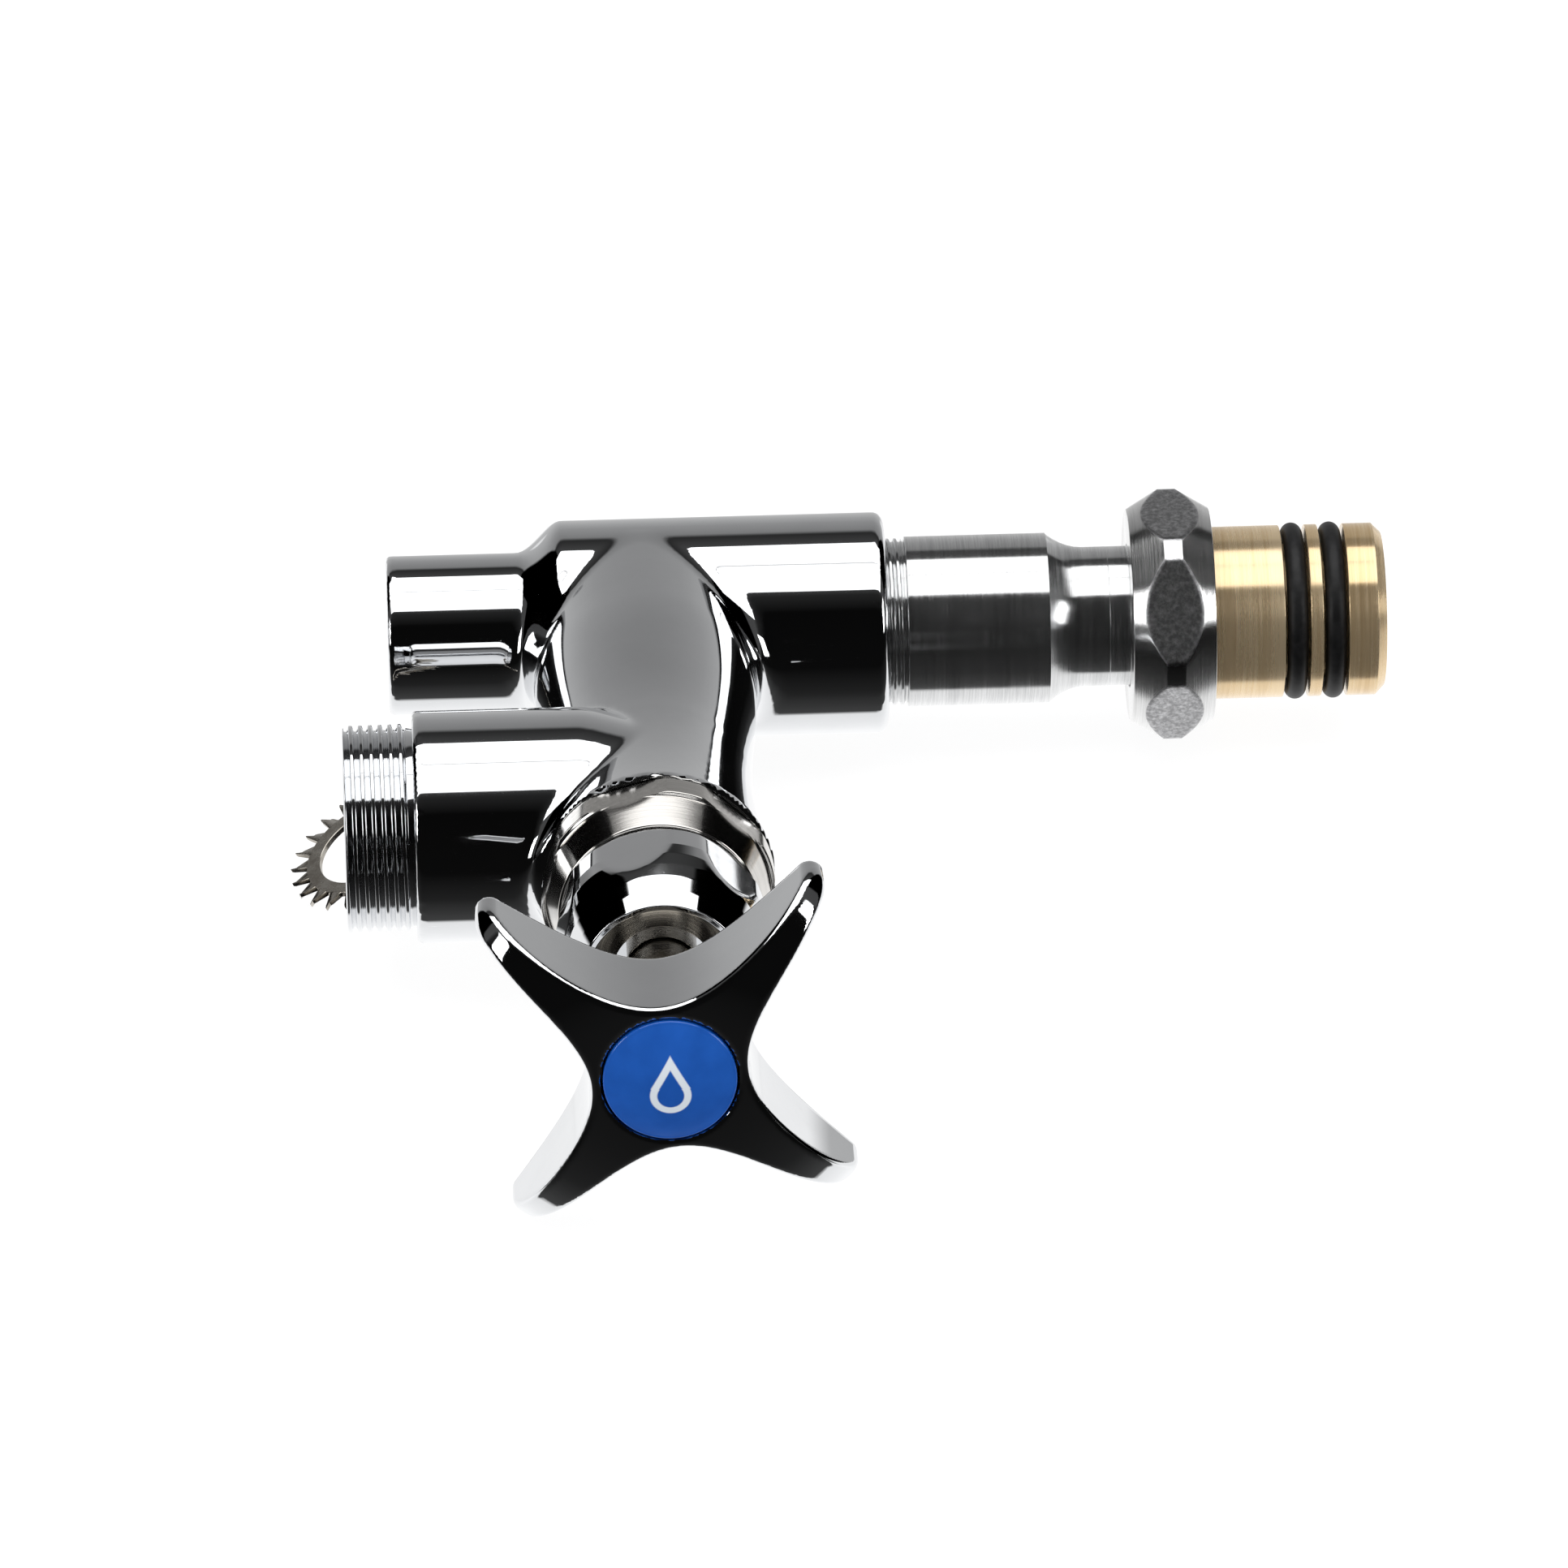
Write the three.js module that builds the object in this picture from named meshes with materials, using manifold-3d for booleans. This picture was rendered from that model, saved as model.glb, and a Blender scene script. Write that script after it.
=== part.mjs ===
// Add-on faucet valve (hose bib): a chromed cast body with a riser port on the left, a threaded
// outlet below it, a captive-nut swivel inlet on the right, and a compression valve with a
// four-arm handle in front. Millimetres, +Z up.
//
// The design is drawn from one point, where the pipe axis meets the stem axis. X runs along the
// pipe, from the riser port (-X) to the swivel sleeve (+X). The stem points along -Y, and a
// "reach" is a distance from the pipe axis along it. The last lines move the origin to the
// middle of the bottom of the bounding box.
import * as THREE from "three";
import { mergeVertices } from "three/addons/utils/BufferGeometryUtils.js";
import Module from "manifold-3d";

// ---------------------------------------------------------------- clearances
const fitGap = 0.3; // between pieces that are screwed or seated together
const runGap = 0.3; // between pieces that turn or slide in each other
const ringGap = 0.1; // between an O-ring and its groove

// ---------------------------------------------------------------- outlet
const outletReach = 54.5; // from the pipe axis to the outlet's axis
const outletRadius = 15.1;
const outletShoulder = -31.15; // where the plain tube ends
const outletCollar = 0.85; // step between the tube and the thread
const outletThreadLength = 8.2;
const outletThreadRadius = 13.49; // 1-1/16"-20 male thread
const outletThreadPitch = 1.27;
const outletThreadDepth = 0.75;
const outletThreadEdge = 0.3; // chamfer at the thread's free end
const outletBoreRadius = 11.65;
const outletBoreDepth = 18.0;
const outletPassageRadius = 6.8;

// ---------------------------------------------------------------- cast body
const pipeRadius = 14.8; // barrel and inlet boss
const portRadius = 10.65; // riser port boss
const portEnd = -34.0; // left face of the riser port
const shoulderLow = -16.3; // where the riser boss starts to grow
const shoulderHigh = -10.9; // where it has reached the barrel's radius
const inletEnd = 32.7; // right face of the inlet boss
const castEdge = 0.8; // rounding of cast edges
const passageRadius = 7.2; // water passage along the pipe
const portSocketRadius = 8.3; // 3/8 NPT female socket for the riser
const portSocketDepth = 12.0;
const columnRootRadius = 14.7; // column where it leaves the barrel
const columnWaistRadius = 13.2;
const columnWaistReach = outletReach - 6.5; // just behind the outlet
const columnRimRadius = 15.4;
const columnRimReach = outletReach + 16.2; // front face of the column
const seatPortRadius = 5.0; // hole from the pipe passage to the seat
const seatReach = pipeRadius + 7.2; // shoulder that the seat's flange bears on
const chamberRadius = 9.5;
const bonnetShoulderReach = outletReach + outletPassageRadius + 0.2; // bottom of the bonnet's socket

// ---------------------------------------------------------------- swivel inlet
const nippleRadius = 11.4;
const nippleThreadRadius = 11.2; // pipe thread that screws into the inlet boss
const nippleThreadDepth = 0.5;
const nippleThreadPitch = 1.0;
const nippleThreadShows = 2.7; // thread left outside the inlet boss
const nippleEngagement = 15.7; // thread inside the inlet boss
const nippleLength = 18.9; // plain part between the thread and the fillet
const nippleFilletLength = 4.9;
const nippleNeckRadius = 9.35;
const nippleBoreRadius = 6.5;
const nippleTailStep = 0.85; // the spigot inside the sleeve is this much smaller than the neck
const nippleTailLength = 11.0;
const nutTravel = 5.5; // free slide along the neck, away from the sleeve
const nutEndPlay = 0.5; // left between the nut and the fillet after that slide
const nutLength = 11.1;
const nutAcrossFlats = 30.7;
const nutCornerRadius = 16.8; // corners turned down to this
const nutLand = 2.4; // length of the turned corner
const nutFaceRadius = 14.2;
const nutCollar = 3.2; // wall that runs on the nipple's neck
const nutThreadRadius = 13.6; // 1-1/16"-20 female thread
const nutFlatFacing = 28.0; // degrees above the front that one flat faces
const slipRingThickness = 1.0;
const slipRingRadius = nutThreadRadius - 1.0;
const sleeveRadius = 11.55;
const sleeveLength = 29.3;
const sleeveFlangeRadius = nutThreadRadius - 0.7;
const sleeveFlangeThickness = 2.4;
const sleeveChamfer = 1.2;
const sleeveWall = 1.2; // least wall under an O-ring groove
const oRingSection = 2.9; // diameter of the O-ring's round section
const oRingSetbacks = [11.9, 6.8]; // from the sleeve's free end to the middle of each ring
const oRingStandsOut = 0.35;

// ---------------------------------------------------------------- valve works
const seatThreadRadius = 7.5;
const seatThreadDepth = 7.0;
const seatFlangeRadius = 8.8;
const seatFlangeThickness = 1.2;
const seatBoreRadius = 4.0;
const seatLip = 1.0; // raised lip that the washer closes on
const seatLipRadius = 5.4;
const washerRadius = 6.2;
const washerThickness = 3.2;
const holderRadius = 7.8; // cup round the seat washer
const holderCupDepth = 2.2;
const holderFloor = 2.0;
const holderStem = 6.0; // length of the holder's stub
const holderStemRadius = 3.0;
const holderBlindEnd = 1.5; // metal left past the screw hole in the stub
const screwHeadRadius = 2.6;
const screwShankRadius = 1.3;
const screwHeadHeight = 1.6;
const spindleRadius = 4.5;
const spindleThreadRadius = spindleRadius + 1.5;
const spindleThreadLength = 12.0;
const spindleThreadInBonnet = 3.5; // closed, how far the thread reaches past the hexagon's back
const spindleSwivelWall = 2.3; // wall round the holder's stub
const liftPerTurn = 3.0; // quick thread on the spindle
const openTurnDegrees = 400; // closed to fully open

// ---------------------------------------------------------------- bonnet, packing, nut
const bonnetSpigotRadius = 11.2;
const gasketThickness = 0.9;
const bonnetHexLength = 4.0;
const bonnetAcrossFlats = 28.6;
const bonnetCornerRadius = 15.2;
const bonnetBackChamfer = 0.6;
const bonnetConeLength = 5.0;
const bonnetConeRadius = 13.0;
const bonnetHexTurn = 16.0; // degrees from +X to the first corner
const bonnetThroatLength = 2.5; // wall between the thread's cavity and the packing
const packingRadius = spindleRadius + 2.7;
const packingThickness = 4.0;
const glandThickness = 3.6;
const bonnetNeckRadius = packingRadius + 2.5; // male thread for the packing nut
const bonnetNeckLength = 10.0;
const packingNutAcrossFlats = 25.4;
const packingNutCornerRadius = 13.6;
const packingNutBaseRadius = 12.6; // back face, chamfered
const packingNutBaseChamfer = 1.9;
const packingNutLand = 5.7; // back face to the start of the cone
const packingNutHeight = 16.7;
const packingNutTopRadius = 10.5;
const packingNutTurn = 15.0; // degrees from +X to the first corner
const packingNutRecessRadius = 10.1;
const packingNutRecessDepth = 2.0;
const packingNutRecessFloor = 1.6; // flat ring left round the spindle

// ---------------------------------------------------------------- handle
const handleStandOff = 12.2; // from the packing nut to the handle, closed
const handleDepth = 14.2; // back of the hub to its front
const handleBackSweep = 1.2; // how far the back leans forward at the edge of the dome
const handleDomeSpread = 1.025; // where the front's dome would meet the back, to the reach of the arms
const buttonRadius = 8.45;
const buttonRimHeight = 3.4;
const buttonDome = 1.9;
const handleHubWall = 1.35; // wall round the button at the hollow between two arms
const handleTipRadius = 1.78;
const handleTurn = 50.5; // degrees from +X to the first arm
const tangHalf = spindleRadius * Math.SQRT1_2; // the square tang's corners lie on the spindle's round
const tangLength = 6.2;
const tangLap = 1.0; // tang that stands out behind the handle
const handleWeb = 1.6; // wall between the tang's socket and the screw's recess
const handleScrewHeadRadius = 4.2;
const handleScrewHeadHeight = 2.4;
const handleScrewShankRadius = 2.0;
const handleScrewLength = 11.0;

// ---------------------------------------------------------------- loose star washer
const starHoleRadius = 7.0;
const starRootRadius = 8.9;
const starTipRadius = 11.3;
const starThickness = 0.8;
const starTeeth = 22;
const starInset = 2.9; // from the outlet's end to the washer's middle
const starBelow = -33.8; // degrees, direction from the outlet's axis, 0 being straight back
const starLap = 0.72; // how far the leaning tips overlap the outlet's round, seen end on
const starLean = [26.0, 9.0]; // degrees: right side up, front side down

// ---------------------------------------------------------------- places that follow
const outletThreadStart = outletShoulder - outletCollar;
const outletEnd = outletThreadStart - outletThreadLength;
const nippleShoulder = inletEnd + nippleThreadShows;
const nippleNeckStart = nippleShoulder + nippleLength;
const nippleTailRadius = nippleNeckRadius - nippleTailStep;
const filletEnd = nippleNeckStart + nippleFilletLength;
const nutStart = filletEnd + nutTravel + nutEndPlay;
const slipRingStart = nutStart + nutCollar + runGap;
const sleeveStart = slipRingStart + slipRingThickness + runGap;
const sleeveEnd = sleeveStart + sleeveLength;
const oRingPlaces = oRingSetbacks.map((setback) => sleeveEnd - setback);
const lift = (liftPerTurn * openTurnDegrees) / 360;
const bonnetHexStart = columnRimReach + fitGap;
const bonnetHexEnd = bonnetHexStart + bonnetHexLength;
const bonnetConeEnd = bonnetHexEnd + bonnetConeLength;
const bonnetNeckEnd = bonnetConeEnd + bonnetNeckLength;
const spindleThreadEnd = bonnetHexStart + spindleThreadInBonnet;
const spindleThreadStart = spindleThreadEnd - spindleThreadLength;
const threadTaper = 1.0; // cone at each end of the spindle's thread
const throatStart = spindleThreadEnd + threadTaper + lift + 2 * runGap;
const packingStart = throatStart + bonnetThroatLength;
const packingNutBase = bonnetConeEnd + fitGap;
const packingNutTop = packingNutBase + packingNutHeight;
const handleBack = packingNutTop + handleStandOff;
const handleWaist = buttonRadius + fitGap + handleHubWall;
const starOut = outletThreadRadius + starTipRadius - starLap; // from the outlet's axis
const starAngle = THREE.MathUtils.degToRad(starBelow);
const starCentre = [
  outletEnd + starInset,
  -outletReach + starOut * Math.cos(starAngle),
  starOut * Math.sin(starAngle),
];

// ---------------------------------------------------------------- making the pieces
const wasm = await Module();
wasm.setup();

const alongPipe = new THREE.Matrix4().makeRotationZ(-Math.PI / 2); // +Y to +X
const alongStem = new THREE.Matrix4().makeRotationX(Math.PI); // +Y to -Y
const outletAxis = new THREE.Matrix4().makeTranslation(0, -outletReach, 0);

const chrome = () => new THREE.MeshStandardMaterial({ color: 0xc9ccd0, roughness: 0.08, metalness: 1 });
const steel = () => new THREE.MeshStandardMaterial({ color: 0xb4b5b4, roughness: 0.25, metalness: 1 });
const brass = () => new THREE.MeshStandardMaterial({ color: 0xc9ac74, roughness: 0.3, metalness: 1 });
const nickel = () => new THREE.MeshStandardMaterial({ color: 0xb9b3a6, roughness: 0.28, metalness: 1 });
const rubber = () => new THREE.MeshStandardMaterial({ color: 0x161616, roughness: 0.6, metalness: 0 });
const fibre = () => new THREE.MeshStandardMaterial({ color: 0x8a4a32, roughness: 0.8, metalness: 0 });
const ptfe = () => new THREE.MeshStandardMaterial({ color: 0xe6e4de, roughness: 0.5, metalness: 0 });
const bluePlastic = () => new THREE.MeshStandardMaterial({ color: 0x1c4fb4, roughness: 0.25, metalness: 0 });

// A closed geometry as a solid that can be joined and cut.
function solid(geometry) {
  const bare = geometry.clone();
  bare.deleteAttribute("normal");
  bare.deleteAttribute("uv");
  const merged = mergeVertices(bare, 1e-4);
  return new wasm.Manifold(
    new wasm.Mesh({
      numProp: 3,
      vertProperties: merged.attributes.position.array,
      triVerts: new Uint32Array(merged.index.array),
    }),
  );
}

// A solid as a geometry again, with one normal for each face.
function geometryOf(made) {
  const mesh = made.getMesh();
  const geometry = new THREE.BufferGeometry();
  geometry.setAttribute("position", new THREE.BufferAttribute(mesh.vertProperties, 3));
  geometry.setIndex(new THREE.BufferAttribute(mesh.triVerts, 1));
  const flat = geometry.toNonIndexed();
  flat.computeVertexNormals();
  return flat;
}

// A solid of revolution about `axis`. Each profile point is [distance along the axis, radius].
// The profile starts and ends on the axis, or closes on itself round a hole.
function turned(profile, axis, sides = 36) {
  let doubledArea = 0;
  profile.forEach(([along, radius], i) => {
    const [nextAlong, nextRadius] = profile[(i + 1) % profile.length];
    doubledArea += radius * nextAlong - nextRadius * along;
  });
  const points = profile.map(([along, radius]) => new THREE.Vector2(radius, along));
  if (doubledArea < 0) points.reverse();
  if (points.every((p) => p.x > 0)) points.push(points[0].clone());
  return solid(new THREE.LatheGeometry(points, sides).applyMatrix4(axis));
}

// A plain rod about `axis`, used for bores and shanks.
const rod = (from, to, radius, axis, sides) =>
  turned([[from, 0], [from, radius], [to, radius], [to, 0]], axis, sides);

// A ring of rectangular section about `axis`.
const ring = (from, to, inner, outer, axis, sides) =>
  turned([[from, inner], [from, outer], [to, outer], [to, inner]], axis, sides);

// Profile points of an arc from one angle to another, in degrees, round [along, radius].
function arc(along, radius, arcRadius, fromDegrees, toDegrees, steps) {
  return Array.from({ length: steps + 1 }, (_, i) => {
    const angle = THREE.MathUtils.degToRad(fromDegrees + ((toDegrees - fromDegrees) * i) / steps);
    return [along + arcRadius * Math.cos(angle), radius + arcRadius * Math.sin(angle)];
  });
}

// Profile points of a thread as closed ridges: crest, root, crest... between two places.
function ridges(from, to, crestRadius, depth, pitch) {
  const count = Math.floor(Math.abs(to - from) / pitch);
  const step = (to - from) / count;
  return Array.from({ length: count }, (_, i) => [
    [from + step * (i + 0.12), crestRadius - depth],
    [from + step * (i + 0.5), crestRadius],
    [from + step * (i + 0.88), crestRadius - depth],
  ]).flat();
}

// An outline carried along `axis` from one place to another. On the stem axis the outline's X and
// Y are the part's X and Z. On the pipe axis they are its -Y and -Z.
function prism(shape, from, to, axis) {
  const geometry = new THREE.ExtrudeGeometry(shape, {
    depth: to - from,
    bevelEnabled: false,
    curveSegments: 5,
  });
  geometry.rotateX(-Math.PI / 2).translate(0, from, 0);
  return solid(geometry.applyMatrix4(axis));
}

// A hexagon by its size across flats, with its first corner at `turn` degrees.
function hexagon(acrossFlats, turn) {
  const corner = acrossFlats / Math.sqrt(3);
  const points = Array.from({ length: 6 }, (_, i) => {
    const angle = THREE.MathUtils.degToRad(turn + 60 * i);
    return new THREE.Vector2(corner * Math.cos(angle), corner * Math.sin(angle));
  });
  return new THREE.Shape(points);
}

// A square by half its width, with its sides along the outline's axes.
const squareOf = (half) =>
  new THREE.Shape([
    new THREE.Vector2(-half, -half),
    new THREE.Vector2(half, -half),
    new THREE.Vector2(half, half),
    new THREE.Vector2(-half, half),
  ]);

const unionOf = (...solids) => solids.reduce((all, next) => all.add(next));
const part = new THREE.Group();

function place(name, made, material) {
  const mesh = new THREE.Mesh(geometryOf(made), material);
  mesh.name = name;
  part.add(mesh);
  return mesh;
}

// ---------------------------------------------------------------- valve body
// Barrel and bosses, column and outlet tube are one casting; the ways through it are cut last.
const nippleBore = inletEnd - nippleEngagement;
const columnProfile = [
  [0, 0],
  [0, columnRootRadius],
  [columnWaistReach - 26, columnRootRadius - 0.1],
  [columnWaistReach - 12, columnWaistRadius + 0.5],
  [columnWaistReach, columnWaistRadius],
  [columnWaistReach + 8, columnWaistRadius + 0.3],
  [columnRimReach - 7, columnRimRadius - 0.9],
  [columnRimReach, columnRimRadius],
  [columnRimReach, 0],
];
const outletProfile = [
  [0, 0],
  [0, outletRadius],
  [outletShoulder + castEdge, outletRadius],
  [outletShoulder, outletRadius - castEdge],
  [outletThreadStart, outletThreadRadius - outletThreadDepth],
  ...ridges(
    outletThreadStart,
    outletEnd + outletThreadEdge,
    outletThreadRadius,
    outletThreadDepth,
    outletThreadPitch,
  ),
  [outletEnd, outletThreadRadius - outletThreadDepth],
  [outletEnd, 0],
];
const barrelProfile = [
  [portEnd, 0],
  [portEnd, portRadius - castEdge / 2],
  [portEnd + castEdge / 2, portRadius],
  [shoulderLow, portRadius],
  [shoulderHigh, pipeRadius],
  [inletEnd - castEdge, pipeRadius],
  [inletEnd, pipeRadius - castEdge],
  [inletEnd, 0],
];
const onOutlet = outletAxis.clone().multiply(alongPipe);
const casting = unionOf(
  turned(barrelProfile, alongPipe),
  turned(columnProfile, alongStem),
  turned(outletProfile, onOutlet),
);
const seatThreadStart = seatReach - seatThreadDepth - fitGap;
const waterways = unionOf(
  rod(portEnd - 1, portEnd + portSocketDepth, portSocketRadius, alongPipe),
  rod(portEnd, inletEnd, passageRadius, alongPipe, 24),
  rod(nippleBore - fitGap, inletEnd + 1, nippleThreadRadius + fitGap, alongPipe),
  rod(0, seatReach, seatPortRadius, alongStem, 24),
  rod(seatThreadStart, seatReach, seatThreadRadius + fitGap, alongStem, 24),
  rod(seatReach, columnRimReach, chamberRadius, alongStem),
  rod(bonnetShoulderReach, columnRimReach + 1, bonnetSpigotRadius + fitGap, alongStem),
  rod(outletEnd - 1, outletEnd + outletBoreDepth, outletBoreRadius, onOutlet),
  rod(outletEnd, 0, outletPassageRadius, onOutlet, 24),
);
place("valve_body", casting.subtract(waterways), chrome());

// ---------------------------------------------------------------- valve seat
const seatFace = seatReach + fitGap + seatFlangeThickness;
const lipTop = seatFace + seatLip;
place(
  "valve_seat",
  turned(
    [
      [seatReach - seatThreadDepth, seatBoreRadius],
      [seatReach - seatThreadDepth, seatThreadRadius],
      [seatReach + fitGap, seatThreadRadius],
      [seatReach + fitGap, seatFlangeRadius],
      [seatFace, seatFlangeRadius],
      [lipTop, seatLipRadius],
      [lipTop, seatBoreRadius],
    ],
    alongStem,
    24,
  ),
  brass(),
);

// ---------------------------------------------------------------- washer and its holder
const washerFace = lipTop + runGap;
const washerBack = washerFace + washerThickness;
const holderSeat = washerBack + fitGap;
const holderBack = holderSeat + holderFloor;
const holderTop = holderBack + holderStem;
const washerScrewFace = washerFace + screwHeadHeight;
place(
  "seat_washer",
  turned(
    [
      [washerFace, screwHeadRadius + fitGap],
      [washerFace, washerRadius],
      [washerBack, washerRadius],
      [washerBack, screwShankRadius + fitGap],
      [washerScrewFace + fitGap, screwShankRadius + fitGap],
      [washerScrewFace + fitGap, screwHeadRadius + fitGap],
    ],
    alongStem,
    24,
  ),
  rubber(),
);
const holderHoleEnd = holderTop - holderBlindEnd;
place(
  "washer_holder",
  turned(
    [
      [holderHoleEnd, 0],
      [holderHoleEnd, screwShankRadius + fitGap],
      [holderSeat, screwShankRadius + fitGap],
      [holderSeat, washerRadius + fitGap],
      [holderSeat - holderCupDepth, washerRadius + fitGap],
      [holderSeat - holderCupDepth, holderRadius],
      [holderBack, holderRadius],
      [holderBack, holderStemRadius],
      [holderTop, holderStemRadius],
      [holderTop, 0],
    ],
    alongStem,
    24,
  ),
  brass(),
);
place(
  "seat_washer_screw",
  unionOf(
    rod(washerFace, washerScrewFace, screwHeadRadius, alongStem, 24),
    rod(washerScrewFace - 0.2, holderHoleEnd - fitGap, screwShankRadius, alongStem, 24),
  ),
  steel(),
);

// ---------------------------------------------------------------- spindle
const tangStart = handleBack - tangLap;
const tangEnd = handleBack + tangLength;
const socketEnd = holderTop + runGap;
const swivelRadius = holderStemRadius + runGap + spindleSwivelWall;
const handleScrewSeat = tangEnd + fitGap + handleWeb;
const handleScrewEnd = handleScrewSeat - handleScrewLength;
const spindleTurned = turned(
  [
    [socketEnd, 0],
    [socketEnd, holderStemRadius + runGap],
    [holderBack + runGap, holderStemRadius + runGap],
    [holderBack + runGap, swivelRadius],
    [socketEnd + 2, swivelRadius],
    [socketEnd + 3.5, spindleRadius],
    [spindleThreadStart - threadTaper, spindleRadius],
    [spindleThreadStart, spindleThreadRadius],
    [spindleThreadEnd, spindleThreadRadius],
    [spindleThreadEnd + threadTaper, spindleRadius],
    [tangStart, spindleRadius],
    [tangStart, 0],
  ],
  alongStem,
  24,
);
const screwHole = rod(
  handleScrewEnd - fitGap,
  tangEnd + 1,
  handleScrewShankRadius + fitGap,
  alongStem,
  24,
);
place(
  "spindle",
  unionOf(spindleTurned, prism(squareOf(tangHalf), tangStart - 0.5, tangEnd, alongStem)).subtract(screwHole),
  brass(),
);

// ---------------------------------------------------------------- bonnet and its gasket
const gasketStart = bonnetShoulderReach + fitGap;
const spigotEnd = gasketStart + gasketThickness + fitGap;
place(
  "bonnet_gasket",
  ring(
    gasketStart,
    gasketStart + gasketThickness,
    chamberRadius + fitGap,
    bonnetSpigotRadius,
    alongStem,
    36,
  ),
  fibre(),
);
const bonnetHexBlank = prism(
  hexagon(bonnetAcrossFlats, bonnetHexTurn),
  bonnetHexStart,
  bonnetConeEnd,
  alongStem,
);
const bonnetEnvelope = turned(
  [
    [bonnetHexStart, 0],
    [bonnetHexStart, bonnetCornerRadius - bonnetBackChamfer],
    [bonnetHexStart + bonnetBackChamfer, bonnetCornerRadius],
    [bonnetHexEnd, bonnetCornerRadius],
    [bonnetConeEnd, bonnetConeRadius],
    [bonnetConeEnd, 0],
  ],
  alongStem,
);
const bonnetOutside = unionOf(
  rod(spigotEnd, bonnetHexStart + 1, bonnetSpigotRadius, alongStem),
  bonnetHexBlank.intersect(bonnetEnvelope),
  rod(bonnetConeEnd - 1, bonnetNeckEnd, bonnetNeckRadius, alongStem),
);
const bonnetInside = unionOf(
  rod(spigotEnd - 1, throatStart, spindleThreadRadius + runGap, alongStem, 24),
  rod(throatStart - 1, packingStart, spindleRadius + runGap, alongStem, 24),
  rod(packingStart, bonnetNeckEnd + 1, packingRadius, alongStem, 24),
);
place("bonnet", bonnetOutside.subtract(bonnetInside), nickel());

// ---------------------------------------------------------------- packing and its nut
const packingBottom = packingStart + fitGap;
const glandBottom = packingBottom + packingThickness + fitGap;
const glandTop = glandBottom + glandThickness;
const nutFloor = Math.max(bonnetNeckEnd, glandTop) + fitGap;
const packingBore = spindleRadius + runGap;
place(
  "packing_ring",
  ring(packingBottom, packingBottom + packingThickness, packingBore, packingRadius - fitGap, alongStem, 24),
  ptfe(),
);
place(
  "packing_gland",
  ring(glandBottom, glandTop, packingBore, packingRadius - fitGap, alongStem, 24),
  brass(),
);
const packingNutBlank = prism(
  hexagon(packingNutAcrossFlats, packingNutTurn),
  packingNutBase,
  packingNutTop,
  alongStem,
);
const packingNutEnvelope = turned(
  [
    [packingNutBase, 0],
    [packingNutBase, packingNutBaseRadius],
    [packingNutBase + packingNutBaseChamfer, packingNutCornerRadius],
    [packingNutBase + packingNutLand, packingNutCornerRadius],
    [packingNutTop, packingNutTopRadius],
    [packingNutTop, 0],
  ],
  alongStem,
  48,
);
const packingNutInside = unionOf(
  rod(packingNutBase - 1, nutFloor, bonnetNeckRadius + fitGap, alongStem),
  rod(packingNutBase, packingNutTop + 1, packingBore, alongStem, 24),
  turned(
    [
      [packingNutTop - packingNutRecessDepth, 0],
      [packingNutTop - packingNutRecessDepth, packingBore + packingNutRecessFloor],
      [packingNutTop, packingNutRecessRadius],
      [packingNutTop + 1, packingNutRecessRadius],
      [packingNutTop + 1, 0],
    ],
    alongStem,
  ),
);
place(
  "packing_nut",
  packingNutBlank.intersect(packingNutEnvelope).subtract(packingNutInside),
  chrome(),
);

// ---------------------------------------------------------------- handle
// The hollow between two arms is a hyperbola with the arms as its asymptotes, so an arm's half
// width is waist^2 / (2 x distance from the axis). Each arm ends in a round tip as wide as that.
const hollowSteps = 10;
const hyperbolaScale = handleWaist / Math.SQRT2;
const tipCentre = handleWaist ** 2 / (2 * handleTipRadius);
const hollowSpan = Math.log(tipCentre / hyperbolaScale);

function handleOutline() {
  const shape = new THREE.Shape();
  const quarter = Math.PI / 2;
  for (let arm = 0; arm < 4; arm += 1) {
    const armAngle = THREE.MathUtils.degToRad(handleTurn) + arm * quarter;
    const along = new THREE.Vector2(Math.cos(armAngle), Math.sin(armAngle));
    const across = new THREE.Vector2(-along.y, along.x);
    const tip = along.clone().multiplyScalar(tipCentre);
    shape.absarc(tip.x, tip.y, handleTipRadius, armAngle - quarter, armAngle + quarter, false);
    for (let i = 1; i < hollowSteps; i += 1) {
      const stretch = Math.exp(hollowSpan * (1 - (2 * i) / hollowSteps));
      const point = along
        .clone()
        .multiplyScalar(hyperbolaScale * stretch)
        .addScaledVector(across, hyperbolaScale / stretch);
      shape.lineTo(point.x, point.y);
    }
  }
  return shape;
}

// The front is a flat-topped dome that falls away to the tips, and the back leans gently forward.
const domeShares = [0.32, 0.45, 0.57, 0.68, 0.78, 0.86, 0.92, 0.96, 0.99];
const handleReachOut = tipCentre + handleTipRadius + 0.1;
const handleDomeRadius = handleDomeSpread * handleReachOut;
const backAt = (radius) => handleBack + handleBackSweep * (radius / handleDomeRadius) ** 2;
const frontAt = (radius) =>
  backAt(radius) + handleDepth * (1 - (radius / handleDomeRadius) ** 4) ** 0.6;
const handleEnvelope = turned(
  [
    [backAt(0), 0],
    ...[0.5, 0.8].map((share) => [backAt(share * handleReachOut), share * handleReachOut]),
    [backAt(handleReachOut), handleReachOut],
    ...domeShares.map((share) => [frontAt(share * handleReachOut), share * handleReachOut]).reverse(),
    [frontAt(0), 0],
  ],
  alongStem,
);
const screwRecessEnd = handleScrewSeat + handleScrewHeadHeight + fitGap;
const buttonSeat = screwRecessEnd + fitGap;
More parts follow.
